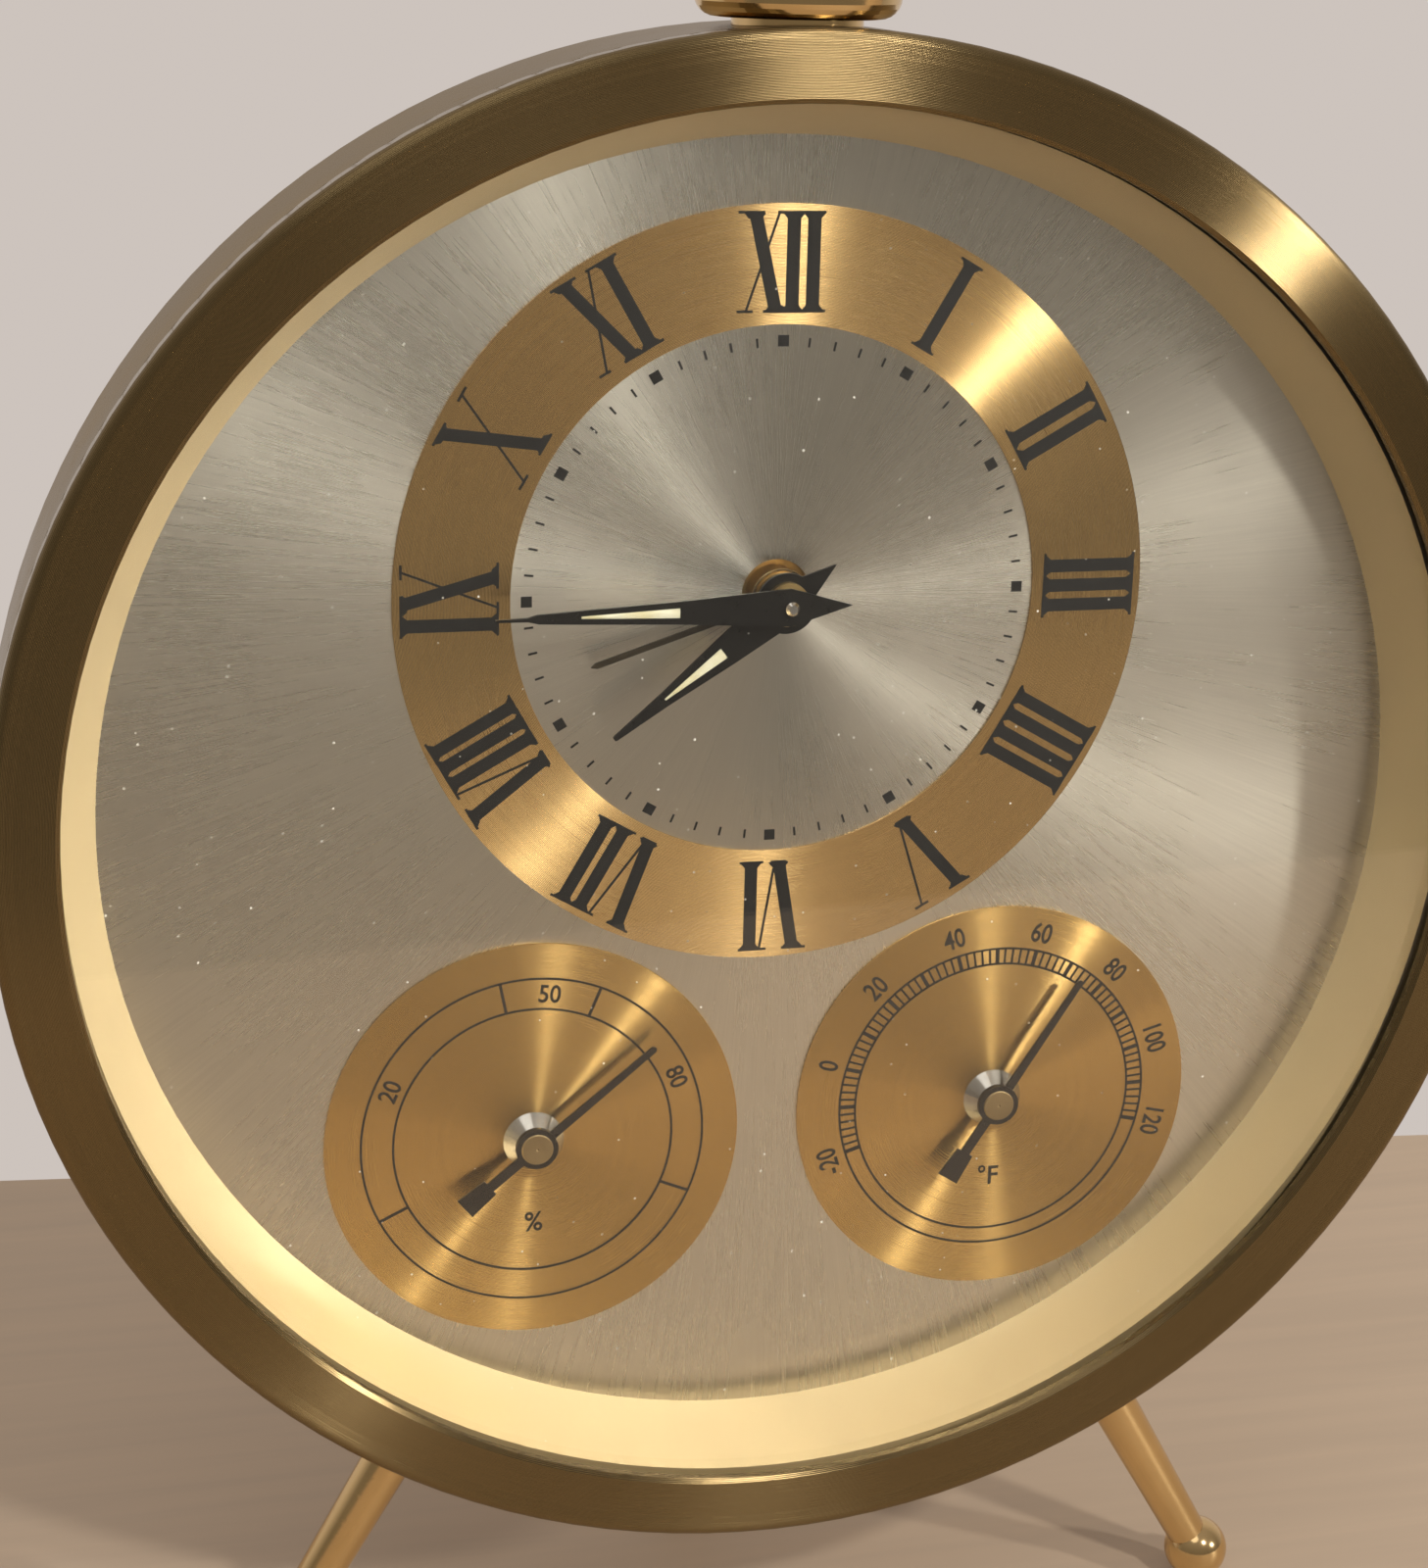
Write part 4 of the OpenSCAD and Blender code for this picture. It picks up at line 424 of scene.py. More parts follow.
def lacquer(name, colour, rough, metallic, coat, dust, grain):
    """Paint with a faint orange peel, tone changes and settled dust."""
    material, tree, shader, _ = start_material(name)
    coords = object_place(tree)
    peel = noise(tree, 1400.0, 3.0, coords)
    handled = use_group(tree, "handling_marks", {"Vector": coords, "Scale": 30.0})
    specks = use_group(tree, "dust_specks", {
        "Vector": coords, "Spacing": 1.1 * MM, "Size": 0.05, "Share": dust})["Specks"]
    base = mottled(tree, handled["Smudge"], colour, 0.93, 1.05)
    feed(tree, shader, {
        "Base Color": blend_colour(tree, specks, base, (0.8, 0.77, 0.7, 1.0)),
        "Roughness": spread(tree, peel, 0.3, 0.7, rough - 0.03, rough + 0.04),
        "Metallic": metallic, "Specular IOR Level": 0.35,
        "Coat Weight": coat, "Coat Roughness": 0.12,
        "Normal": bump(tree, peel, 0.01 * MM, grain)})
    return material


def painted_hand(name, paint, brass, centre, hub):
    """Dark paint on a thin hand whose hub is left bare brass."""
    material, tree, shader, _ = start_material(name)
    place = centred(tree, centre)
    radius, _ = radius_of(tree, place)
    bare = maths(tree, "LESS_THAN", radius, hub)
    handled = use_group(tree, "handling_marks", {"Vector": place, "Scale": 120.0})
    metal = mottled(tree, handled["Smudge"], brass, 0.8, 1.1)
    dark = mottled(tree, handled["Smudge"], paint, 0.8, 1.3)
    feed(tree, shader, {
        "Base Color": blend_colour(tree, bare, dark, metal), "Metallic": bare,
        "Roughness": spread(tree, handled["Smudge"], 0.3, 0.7, 0.2, 0.32),
        "Normal": bump(tree, handled["Scratch"], 0.01 * MM, 0.2)})
    return material


def luminous_paint(name, colour):
    """Chalky luminous paint, yellowed in patches."""
    material, tree, shader, _ = start_material(name)
    coords = object_place(tree)
    grit = noise(tree, 5200.0, 4.0, coords)
    patch = noise(tree, 420.0, 2.0, coords)
    aged = opaque(part * share for part, share in zip(colour, (0.86, 0.8, 0.62)))
    worn = spread(tree, patch, 0.35, 0.7, 0.0, 1.0)
    feed(tree, shader, {
        "Base Color": blend_colour(tree, worn, opaque(colour), aged),
        "Roughness": spread(tree, grit, 0.3, 0.7, 0.65, 0.85),
        "Normal": bump(tree, grit, 0.03 * MM, 0.6)})
    return material


def clear_glass(name):
    """Flat mineral glass that lets the lamps through to the dial."""
    material, tree, shader, output = start_material(name)
    film = noise(tree, 24.0, 3.0, object_place(tree))
    feed(tree, shader, {
        "Base Color": (0.985, 0.99, 0.98, 1.0), "Transmission Weight": 1.0, "IOR": 1.5,
        "Roughness": spread(tree, film, 0.45, 0.75, 0.0, 0.025)})
    path = tree.nodes.new("ShaderNodeLightPath")
    through = put(tree, "ShaderNodeBsdfTransparent", {"Color": (0.96, 0.97, 0.96, 1.0)})
    mix = put(tree, "ShaderNodeMixShader", {
        0: path.outputs["Is Shadow Ray"], 1: shader.outputs[0], 2: through.outputs[0]})
    feed(tree, output, {"Surface": mix.outputs[0]})
    return material


def finish(name):
    """A finish by name, made on first use."""
    known = bpy.data.materials.get(name)
    if known and known.get("clock_finish"):
        return known
    if known:
        known.name = name + "_packed"
    colours = bpy.context.scene.clock_finishes
    makers = {
        "polished_brass": (polished_metal, colours.polished_brass, 0.11, 0.06),
        # Darker colour and dimmed edge tint: partly tarnish, partly painted shade of the shadowed
        # wall reflected at a flat angle.
        "drum_brass": (polished_metal, colours.drum_brass, 0.16, 0.08, 45.0, (0.5, 0.46, 0.4)),
        # Its colour holds painted shade: darkened to stand in for the dim room that the bezel face
        # reflects.
        "bezel_brass": (
            brushed_metal, colours.bezel_brass, CASE_AXIS, "turned", 0.255, 1.0, 0.0235),
        "gold_ring": (
            brushed_metal, colours.ring_gold, CLOCK_CENTRE, "turned", 0.25, 1.0, 0.017, 0.5),
        "gold_hygrometer": (
            brushed_metal, colours.gold, HYGROMETER_CENTRE, "turned", 0.24, 1.0, 0.021, 0.3),
        "gold_thermometer": (
            brushed_metal, colours.gold, THERMOMETER_CENTRE, "turned", 0.24, 1.0, 0.021, 0.3),
        "silver_dial": (
            brushed_metal, colours.silver, CLOCK_CENTRE, "sunray", 0.27, 0.875, 0.004, 0.4),
        "cream_gold": (lacquer, colours.cream, 0.38, 0.3, 0.2, 0.04, 0.12),
        "ink": (lacquer, colours.ink, 0.5, 0.0, 0.0, 0.3, 0.3),
        "black_lacquer": (lacquer, colours.ink, 0.3, 0.0, 0.1, 0.2, 0.2),
        "alarm_hand_paint": (
            painted_hand, (0.03, 0.022, 0.012), colours.polished_brass, CLOCK_CENTRE, 2.47 * MM),
        "luminous_paint": (luminous_paint, colours.luminous),
        "glass": (clear_glass,),
        "steel": (polished_metal, colours.steel, 0.28, 0.1, 180.0),
        "polished_steel": (polished_metal, (0.78, 0.77, 0.74), 0.07, 0.05, 220.0),
        "silver_boss": (polished_metal, (0.56, 0.54, 0.5), 0.12, 0.06, 160.0),
        "dull_brass": (polished_metal, (0.36, 0.27, 0.14), 0.34, 0.08, 320.0),
        "movement_brass": (polished_metal, colours.movement, 0.3, 0.12, 90.0),
        "instrument_metal": (polished_metal, (0.58, 0.58, 0.56), 0.36, 0.1, 120.0),
    }
    make, *values = makers[name]
    material = make(name, *values)
    material["clock_finish"] = True
    return material


def dress(nodes, name):
    """Gives CAD nodes a finish."""
    for node in nodes:
        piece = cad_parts[node]
        for slot in piece.material_slots:
            slot.material = finish(name)


# ---- mesh helpers


def add_object(name, data):
    """Adds an object to the scene."""
    made = bpy.data.objects.new(name, data)
    bpy.context.scene.collection.objects.link(made)
    return made


def add_piece(name, mesh, body, material, smooth=None):
    """Adds a mesh as a piece that rides on a body."""
    piece = add_object(name, mesh)
    mesh.materials.clear()
    mesh.materials.append(material)
    if smooth is not None:
        mesh.shade_smooth()
        mesh.set_sharp_from_angle(angle=math.radians(smooth))
    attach(piece, body)


def add_print(name, mesh):
    """Adds a printed mesh to the case in ink."""
    add_piece(name, mesh, "case", finish("ink"))


def mesh_from(build, name):
    """Runs a bmesh builder and returns its cleaned mesh."""
    work = bmesh.new()
    build(work)
    bmesh.ops.remove_doubles(work, verts=work.verts, dist=1e-7)
    bmesh.ops.dissolve_degenerate(work, edges=work.edges, dist=1e-8)
    bmesh.ops.recalc_face_normals(work, faces=work.faces)
    mesh = bpy.data.meshes.new(name)
    work.to_mesh(mesh)
    work.free()
    return mesh


def skin(work, rows):
    """Lays faces from each closed row of vertices to the next."""
    for here, there in zip(rows, rows[1:]):
        for index in range(len(here)):
            after = (index + 1) % len(here)
            work.faces.new([here[index], here[after], there[after], there[index]])


def turn_profile(work, profile, centre, steps):
    """Revolves a closed profile of (radius, depth) points, off the axis, round a line along Y."""
    rings = []
    for step in range(steps):
        angle = 2 * math.pi * step / steps
        rings.append([
            work.verts.new((centre[0] + r * math.sin(angle), y, centre[2] + r * math.cos(angle)))
            for r, y in profile
        ])
    skin(work, rings + rings[:1])


def thicken(work, points, faces, place):
    """Makes a flat, faced outline into a closed thin solid.

    place(u, v, d) gives the point in space, with d 0 at the front and 1 at the back.
    """
    front = [work.verts.new(place(u, v, 0)) for u, v in points]
    back = [work.verts.new(place(u, v, 1)) for u, v in points]
    uses = {}
    for face in faces:
        work.faces.new([front[i] for i in face])
        work.faces.new([back[i] for i in reversed(face)])
        for a, b in zip(face, list(face[1:]) + [face[0]]):
            key = (min(a, b), max(a, b))
            uses.setdefault(key, []).append((a, b))
    for sides in uses.values():
        if len(sides) == 1:
            a, b = sides[0]
            work.faces.new([front[b], front[a], back[a], back[b]])


def merged_outline(shapes):
    """Union of flat shapes, as points and triangles."""
    points, faces = [], []
    for shape in shapes:
        start = len(points)
        points += [Vector(p) for p in shape]
        faces.append(list(range(start, start + len(shape))))
    found = delaunay_2d_cdt(points, [], faces, 1, 1e-6)
    kept = [list(face) for face, source in zip(found[2], found[5]) if source]
    return [tuple(p) for p in found[0]], kept


def on_dial(centre, angle, face, height):
    """Place on a dial at a clock angle.

    u runs clockwise and v outwards, in millimetres, and d runs into the dial, from 0 to 1.
    """
    side = Vector((math.cos(angle), 0, -math.sin(angle)))
    outward = Vector((math.sin(angle), 0, math.cos(angle)))
    middle_point = Vector((centre[0], face, centre[2]))

    def place(u, v, d):
        lift = Vector((0, -height * MM * (1 - d), 0))
        return middle_point + side * (u * MM) + outward * (v * MM) + lift

    return place


def stroke(width, top, foot, low, high):
    """A slanted stroke with level ends."""
    half = width / 2
    return [(foot - half, low), (foot + half, low), (top + half, high), (top - half, high)]


def bar(left, right, low, high):
    """A level bar."""
    return [(left, low), (right, low), (right, high), (left, high)]


# Strokes of the twelve numerals, across, in millimetres from the hour's own radius:
# thick strokes (top, foot), thin strokes (top, foot), serifs at the top and at the foot.
NUMERALS = {
    1: ([(0, 0)], [], [(-1.04, 1.04)], [(-1.06, 1.06)]),
    2: ([(-0.9, -0.9), (0.9, 0.9)], [], [(-1.93, 1.93)], [(-1.93, 1.93)]),
    3: ([(-1.67, -1.67), (0, 0), (1.67, 1.67)], [], [(-2.72, 2.72)], [(-2.72, 2.72)]),
    4: ([(-2.48, -2.48), (-0.83, -0.83), (0.83, 0.83), (2.48, 2.48)], [],
        [(-3.45, 3.45)], [(-3.43, 3.43)]),
    5: ([(-1.7, 0.0)], [(2.05, 0.3)], [(-2.75, -0.68), (1.4, 2.7)], [(-0.62, 0.68)]),
    6: ([(-2.2, -0.82), (1.55, 1.55)], [(0.72, -0.5)],
        [(-3.35, -1.25), (0.1, 2.52)], [(-1.45, -0.15), (0.5, 2.55)]),
    7: ([(-2.68, -1.38), (1.02, 1.02), (2.62, 2.62)], [(0.0, -1.1)],
        [(-3.8, -1.75), (-0.42, 3.72)], [(-2.05, -0.7), (-0.05, 3.6)]),
    8: ([(-2.95, -1.75), (0.45, 0.45), (1.98, 1.98), (3.5, 3.5)], [(-0.5, -1.45)],
        [(-4.0, -1.95), (-0.98, 4.55)], [(-2.4, -1.0), (-0.35, 4.5)]),
    9: ([(-1.66, -1.66), (0.05, 2.25)], [(2.8, -0.35)],
        [(-2.62, 0.85), (2.15, 3.35)], [(-2.62, 0.15), (1.22, 3.35)]),
    10: ([(-1.93, 1.42)], [(1.68, -2.02)],
         [(-2.96, -0.9), (1.02, 2.32)], [(-2.7, -1.35), (0.45, 2.4)]),
    11: ([(-2.95, -0.72), (0.87, 0.87)], [(-0.57, -3.28)],
         [(-4.05, -1.77), (-0.86, 1.92)], [(-3.95, -2.9), (-1.62, 1.98)]),
    12: ([(-2.62, -0.76), (0.55, 0.55), (2.22, 2.22)], [(-0.6, -3.25)],
         [(-3.98, -1.85), (-0.78, 3.15)], [(-3.95, -2.65), (-1.8, 3.28)]),
}


# Brackets between stroke and serif: reach as a share of the serif, rise as a share of reach.
BRACKET_REACH = 1.6
BRACKET_RISE = 1.2


def numeral_shapes(number, dial):
    """Flat shapes of one Roman numeral."""
    thick, thin, tops, feet = NUMERALS[number]
    low, high = dial.numeral_foot, dial.numeral_top
    shapes = [stroke(dial.stroke, top, foot, low, high) for top, foot in thick]
    shapes += [stroke(dial.hairline, top, foot, low, high) for top, foot in thin]
    shapes += [bar(left, right, high - dial.serif, high) for left, right in tops]
    shapes += [bar(left, right, low, low + dial.serif) for left, right in feet]
    bracket = dial.serif * BRACKET_REACH
    rise = bracket * BRACKET_RISE
    half = dial.stroke / 2
    under, over = high - dial.serif, low + dial.serif
    for top, foot in thick:
        shapes.append([
            (top - half - bracket, under), (top - half, under - rise), (top + half, under - rise),
            (top + half + bracket, under), (top + half, high), (top - half, high)])
        shapes.append([
            (foot - half - bracket, over), (foot - half, low), (foot + half, low),
            (foot + half + bracket, over), (foot + half, over + rise), (foot - half, over + rise)])
    return shapes


# Height of a digit in the built-in font at size 1, and how much its strokes are thickened.
FONT_DIGIT_HEIGHT = 0.73
FONT_THICKENING = 0.012


def evaluated_mesh(holder):
    """Mesh of an object as it is after its modifiers or its curve's settings."""
    bpy.context.view_layer.update()
    depsgraph = bpy.context.evaluated_depsgraph_get()
    return bpy.data.meshes.new_from_object(holder.evaluated_get(depsgraph))


def written(text, height, squeeze):
    """Flat faced shape of a text, centred, in millimetres."""
    curve = bpy.data.curves.new("number", "FONT")
    curve.body = text
    curve.resolution_u = 4
    curve.offset = FONT_THICKENING
    holder = add_object("number", curve)
    mesh = evaluated_mesh(holder)
    work = bmesh.new()
    work.from_mesh(mesh)
    bmesh.ops.remove_doubles(work, verts=work.verts, dist=1e-5)
    bmesh.ops.dissolve_degenerate(work, edges=work.edges, dist=1e-6)
    work.verts.index_update()
    points = [tuple(v.co.xy) for v in work.verts]
    faces = [[v.index for v in f.verts] for f in work.faces if f.calc_area() > 1e-9]
    work.free()
    bpy.data.objects.remove(holder)
    bpy.data.meshes.remove(mesh)
    bpy.data.curves.remove(curve)
    across = [p[0] for p in points]
    upward = [p[1] for p in points]
    scale = height / FONT_DIGIT_HEIGHT
    shift = (max(across) + min(across)) / 2
    lift = (max(upward) + min(upward)) / 2
    return [((x - shift) * scale * squeeze, (y - lift) * scale) for x, y in points], faces


# ---- repeated marks


def marks_tree():
    """Geometry nodes that repeat one mark round a dial, made on first use."""
    known = bpy.data.node_groups.get("marks_round_a_dial")
    if known:
        return known
    tree, given, out = new_group(
        "marks_round_a_dial", "GeometryNodeTree",
        [("Geometry", "Geometry"), ("Count", "Int", 60), ("First Angle", "Float", 0.0),
         ("Step", "Float", 0.1), ("Skip Every", "Int", 0), ("Centre", "Vector"),
         ("Finish", "Material")],
        [("Geometry", "Geometry")])
    points = put(tree, "GeometryNodePoints", {
        "Count": given["Count"], "Position": given["Centre"]}).outputs[0]
    index = tree.nodes.new("GeometryNodeInputIndex").outputs[0]
    angle = maths(tree, "MULTIPLY_ADD", index, given["Step"], given["First Angle"])
    turn = put(tree, "ShaderNodeCombineXYZ", {"Y": angle}).outputs[0]
    rotation = put(tree, "FunctionNodeEulerToRotation", {0: turn}).outputs[0]
    rest = maths(tree, "MODULO", index, maths(tree, "MAXIMUM", given["Skip Every"], 1.0))
    never = maths(tree, "LESS_THAN", given["Skip Every"], 0.5)
    kept = maths(tree, "MAXIMUM", maths(tree, "GREATER_THAN", rest, 0.5), never)
    placed = put(tree, "GeometryNodeInstanceOnPoints", {
        "Points": points, "Selection": kept, "Instance": given["Geometry"],
        "Rotation": rotation}).outputs[0]
    real = put(tree, "GeometryNodeRealizeInstances", {0: placed}).outputs[0]
    painted = put(tree, "GeometryNodeSetMaterial", {
        "Geometry": real, "Material": given["Finish"]}).outputs[0]
    feed(tree, out, {"Geometry": painted})
    return tree


def repeat_mark(name, shape, centre, face, height, count, first, step, skip):
    """One printed mark, drawn at 12 o'clock from the dial's centre, repeated round it.

    Angles are in degrees. Where skip isn't 0, every skip-th mark is left out.
    """
    def build(work):
        points, faces = merged_outline([shape])
        thicken(work, points, faces, on_dial((0, 0, 0), 0.0, face, height))

    one = add_object(name + "_one", mesh_from(build, name + "_one"))
    tree = marks_tree()
    modifier = one.modifiers.new("marks", "NODES")
    modifier.node_group = tree
    values = {"Count": count, "First Angle": math.radians(first), "Step": math.radians(step),
              "Skip Every": skip, "Centre": (centre[0], 0.0, centre[2]), "Finish": finish("ink")}
    for item in tree.interface.items_tree:
        if item.in_out == "INPUT" and item.name in values:
            modifier[item.identifier] = values[item.name]
    mesh = evaluated_mesh(one)
    mesh.name = name
    one.modifiers.remove(modifier)
    bpy.data.objects.remove(one)
    add_print(name, mesh)


# ---- operators


class CLOCK_OT_case(bpy.types.Operator):
    """Finish the case, the legs and the alarm button"""

    bl_idname = "clock.case"
    bl_label = "Case, Legs and Button"

    def execute(self, context):
        dress(["case_drum", "rear_cover"], "drum_brass")
        dress(["leg_left", "leg_right", "leg_rear", "leg_collars", "alarm_button",
               "button_neck"], "polished_brass")
        dress(["bezel_ring"], "bezel_brass")
        dress(["inner_ring"], "cream_gold")
        dress(["cover_screws", "leg_nuts", "button_spring", "stop_lever"], "steel")
        dress(["crystal"], "glass")
        return {"FINISHED"}


class CLOCK_OT_dial(bpy.types.Operator):
    """Finish the silver dial, the gold chapter ring and the two gold weather discs"""

    bl_idname = "clock.dial"
    bl_label = "Dial Plates"

    def execute(self, context):
        dress(["dial_plate"], "silver_dial")
        dress(["chapter_ring"], "gold_ring")
        dress(["hygrometer_disc"], "gold_hygrometer")
        dress(["thermometer_disc"], "gold_thermometer")
        return {"FINISHED"}


# Degrees from one hour to the next.
HOUR_STEP = 30


class CLOCK_OT_numerals(bpy.types.Operator):
    """Print the twelve Roman numerals on the chapter ring"""

    bl_idname = "clock.numerals"
    bl_label = "Roman Numerals"

    def execute(self, context):
        dial = context.scene.clock_dial

        def build(work):
            for number in NUMERALS:
                angle = math.radians(HOUR_STEP * number)
                place = on_dial(CLOCK_CENTRE, angle, RING_FACE, dial.print_height)
                points, faces = merged_outline(numeral_shapes(number, dial))
                thicken(work, points, faces, place)

        add_print("roman_numerals", mesh_from(build, "roman_numerals"))
        return {"FINISHED"}


class CLOCK_OT_minute_track(bpy.types.Operator):
    """Print the minute marks and the square hour marks inside the chapter ring"""

    bl_idname = "clock.minute_track"
    bl_label = "Minute Track"

    def execute(self, context):
        dial = context.scene.clock_dial
        for name, width, end, count, skip in (
            ("minute_marks", dial.mark_width, dial.track_outer, 60, 5),
            ("hour_marks", dial.hour_mark, dial.track_inner + dial.hour_mark, 12, 0),
        ):
            mark = bar(-width / 2, width / 2, dial.track_inner, end)
            repeat_mark(name, mark, CLOCK_CENTRE, DIAL_FACE, dial.print_height,
                        count, 0.0, 360 / count, skip)
        return {"FINISHED"}


# Corners of a printed circle.
CIRCLE_STEPS = 128
# The temperature scale in degrees of the dial: the mark of -20, and the step between two marks.
SCALE_START = -107.4
SCALE_STEP = 2.962
SCALE_MARKS = (
    # name, bold, first mark, how many, every how many steps, which are left out
    ("temperature_low_marks", False, 1, 5, 1, 0),
    ("temperature_marks", False, 6, 65, 1, 5),
    ("temperature_first_mark", True, 0, 1, 1, 0),
    ("temperature_main_marks", True, 6, 14, 5, 0),
)
# How narrow the temperature numbers are, and how far in millimetres -20 moves to the left
# for its minus sign.
NUMBER_SQUEEZE = 0.78
MINUS_SHIFT = -0.35
# The humidity band: angles of its dividers, how much thicker they are than a scale line, the
# angles of its numbers, and the numbers' radius, height and squeeze.
DIVIDER_ANGLES = (-11.4, 22.9, 113.0, 244.0)
DIVIDER_SHARE = 1.4
HUMIDITY_NUMBERS = (("20", -66.1), ("50", 5.75), ("80", 68.2))
HUMIDITY_RADIUS = 13.3
HUMIDITY_HEIGHT = 1.6
HUMIDITY_SQUEEZE = 0.9
# The signs below the pointers: text, centre, millimetres above it, and their height and squeeze.
SIGNS = (("%", HYGROMETER_CENTRE, -7.5), ("°F", THERMOMETER_CENTRE, -7.4))
SIGN_HEIGHT = 1.8
SIGN_SQUEEZE = 0.95


class CLOCK_OT_weather_scales(bpy.types.Operator):
    """Print the humidity and temperature scales on the two weather discs"""

    bl_idname = "clock.weather_scales"
    bl_label = "Weather Scales"

    def execute(self, context):
        sizes = context.scene.clock_weather
        height = context.scene.clock_dial.print_height
        half = sizes.line_width / 2

        def circles(work):
            for centre, radii in (
                (HYGROMETER_CENTRE, (sizes.hygro_outer, sizes.hygro_inner)),
                (THERMOMETER_CENTRE, (sizes.thermo_outer, sizes.thermo_inner)),
            ):
                for radius in radii:
                    band = bar((radius - half) * MM, (radius + half) * MM,
                               RING_FACE - height * MM, RING_FACE)
                    turn_profile(work, band, centre, CIRCLE_STEPS)

        add_print("scale_circles", mesh_from(circles, "scale_circles"))

        def dividers(work):
            wide = half * DIVIDER_SHARE
            for angle in DIVIDER_ANGLES:
                place = on_dial(HYGROMETER_CENTRE, math.radians(angle), RING_FACE, height)
                points, faces = merged_outline([
                    bar(-wide, wide, sizes.hygro_inner, sizes.hygro_outer)])
                thicken(work, points, faces, place)

        add_print("humidity_dividers", mesh_from(dividers, "humidity_dividers"))
        for name, bold, first, count, every, skip in SCALE_MARKS:
            side = sizes.bold_width / 2 if bold else half
            mark = bar(-side, side, sizes.thermo_inner, sizes.thermo_outer)
            repeat_mark(name, mark, THERMOMETER_CENTRE, RING_FACE, height, count,
                        SCALE_START + first * SCALE_STEP, every * SCALE_STEP, skip)

        def write(work, text, size, squeeze, centre, angle, across, outward):
            points, faces = written(text, size, squeeze)
            place = on_dial(centre, math.radians(angle), RING_FACE, height)
            thicken(work, [(u + across, v + outward) for u, v in points], faces, place)

        def numbers(work):
            for index, degrees in enumerate(range(-20, 121, 20)):
                cells = 10 * index + 1 if index else 0
                shift = MINUS_SHIFT if degrees < 0 else 0.0
                write(work, str(degrees), sizes.digit_height, NUMBER_SQUEEZE, THERMOMETER_CENTRE,
                      SCALE_START + cells * SCALE_STEP, shift, sizes.digit_radius)
            for text, angle in HUMIDITY_NUMBERS:
                write(work, text, HUMIDITY_HEIGHT, HUMIDITY_SQUEEZE, HYGROMETER_CENTRE,
                      angle, 0.0, HUMIDITY_RADIUS)
            for text, centre, lift in SIGNS:
                write(work, text, SIGN_HEIGHT, SIGN_SQUEEZE, centre, 0.0, 0.0, lift)

        add_print("scale_numbers", mesh_from(numbers, "scale_numbers"))
        return {"FINISHED"}


# Luminous strips: hand, clock angle, start, end, width at the start and at the end. Then the
# gap to the slot, the height of the dome, how far its ends drop and how far the strip's
# floor stays inside the hand, all in millimetres, the cuts along and across a strip, and the
# angle in degrees up to which its edges look smooth.
STRIPS = (
    ("minute_hand", 269.22, 9.106, 17.089, 0.837, 0.239),
    ("hour_hand", 232.435, 6.407, 12.496, 1.001, 0.2),
)
STRIP_GAP = 0.01
STRIP_DOME = 0.05
STRIP_DROP = 0.03
STRIP_FLOOR = 0.02
STRIP_CUTS = 12
STRIP_FACETS = 6
STRIP_SMOOTH = 40


class CLOCK_OT_hands(bpy.types.Operator):
    """Finish the hands and pointers and lay the luminous strips into the two main hands"""

    bl_idname = "clock.hands"
    bl_label = "Hands and Pointers"

    def execute(self, context):
        dress(["minute_hand", "hour_hand", "hygrometer_pointer",
               "thermometer_pointer"], "black_lacquer")
        dress(["alarm_hand"], "alarm_hand_paint")
        dress(["hand_pin"], "polished_steel")
        dress(["hygrometer_cap", "thermometer_cap"], "dull_brass")
        for strip in STRIPS:
            self.lay_strip(*strip)
        return {"FINISHED"}

    def lay_strip(self, hand, angle, start, end, broad, narrow):
        """One domed, tapered strip in the slot of a hand."""
        low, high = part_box(hand)
        face, thick = low.y, high.y - low.y
        place = on_dial(CLOCK_CENTRE, math.radians(angle), face, 0.0)
        first, run = start + STRIP_GAP, end - start - 2 * STRIP_GAP
        cuts = [first + run * i / STRIP_CUTS for i in range(STRIP_CUTS + 1)]

        def build(work):
            rows = []
            for index, along in enumerate(cuts):
                width = broad + (narrow - broad) * (along - start) / (end - start)
                drop = STRIP_DROP if index in (0, STRIP_CUTS) else 0.0
                crowned = [-1 + 2 * j / STRIP_FACETS for j in range(STRIP_FACETS + 1)]
                section = [
                    (across, (STRIP_DOME * across * across + drop) * MM)
                    for across in crowned
                ] + [(across, thick - STRIP_FLOOR * MM) for across in (1, -1)]
                rows.append([
                    work.verts.new(place(across * (width / 2 - STRIP_GAP), along, 1)
                                   + Vector((0, depth, 0)))
                    for across, depth in section
                ])
            skin(work, rows)
            work.faces.new(rows[0])
            work.faces.new(list(reversed(rows[-1])))

        name = hand + "_luminous"
        add_piece(name, mesh_from(build, name), hand, finish("luminous_paint"), STRIP_SMOOTH)


class CLOCK_OT_movement(bpy.types.Operator):
    """Finish the movement, the instruments behind the dial, the knobs and the winding keys"""

    bl_idname = "clock.movement"
    bl_label = "Movement and Knobs"

    def execute(self, context):
        dress(["front_plate", "back_plate", "movement_pillars", "centre_wheel", "third_wheel",
               "fourth_wheel", "escape_wheel", "balance_wheel", "hour_wheel", "alarm_wheel",
               "minute_wheel", "time_barrel", "alarm_barrel",
               "alarm_verge_wheel"], "movement_brass")
        dress(["plate_nuts", "centre_arbor", "alarm_set_arbor", "pallet_lever", "hairspring",
               "regulator", "time_winding_arbor", "alarm_winding_arbor", "time_click",
               "alarm_click", "alarm_hammer"], "steel")
        dress(["hygrometer_cup", "thermometer_cup"], "silver_boss")
        dress(["hygrometer_coil", "thermometer_coil"], "instrument_metal")
        dress(["set_hands_knob", "alarm_set_knob", "time_key", "alarm_key"], "polished_brass")
        return {"FINISHED"}


# The table top in metres: half its length, its front and back edges, its thickness, the round
# of its edges, the hair's breadth it lies under the feet, and its turn in degrees.
TABLE_HALF = 0.85
TABLE_FRONT = -0.21
TABLE_BACK = 0.088
TABLE_THICK = 0.02
TABLE_ROUND = 0.0015
TABLE_DROP = 0.0002
TABLE_TURN = -6.1
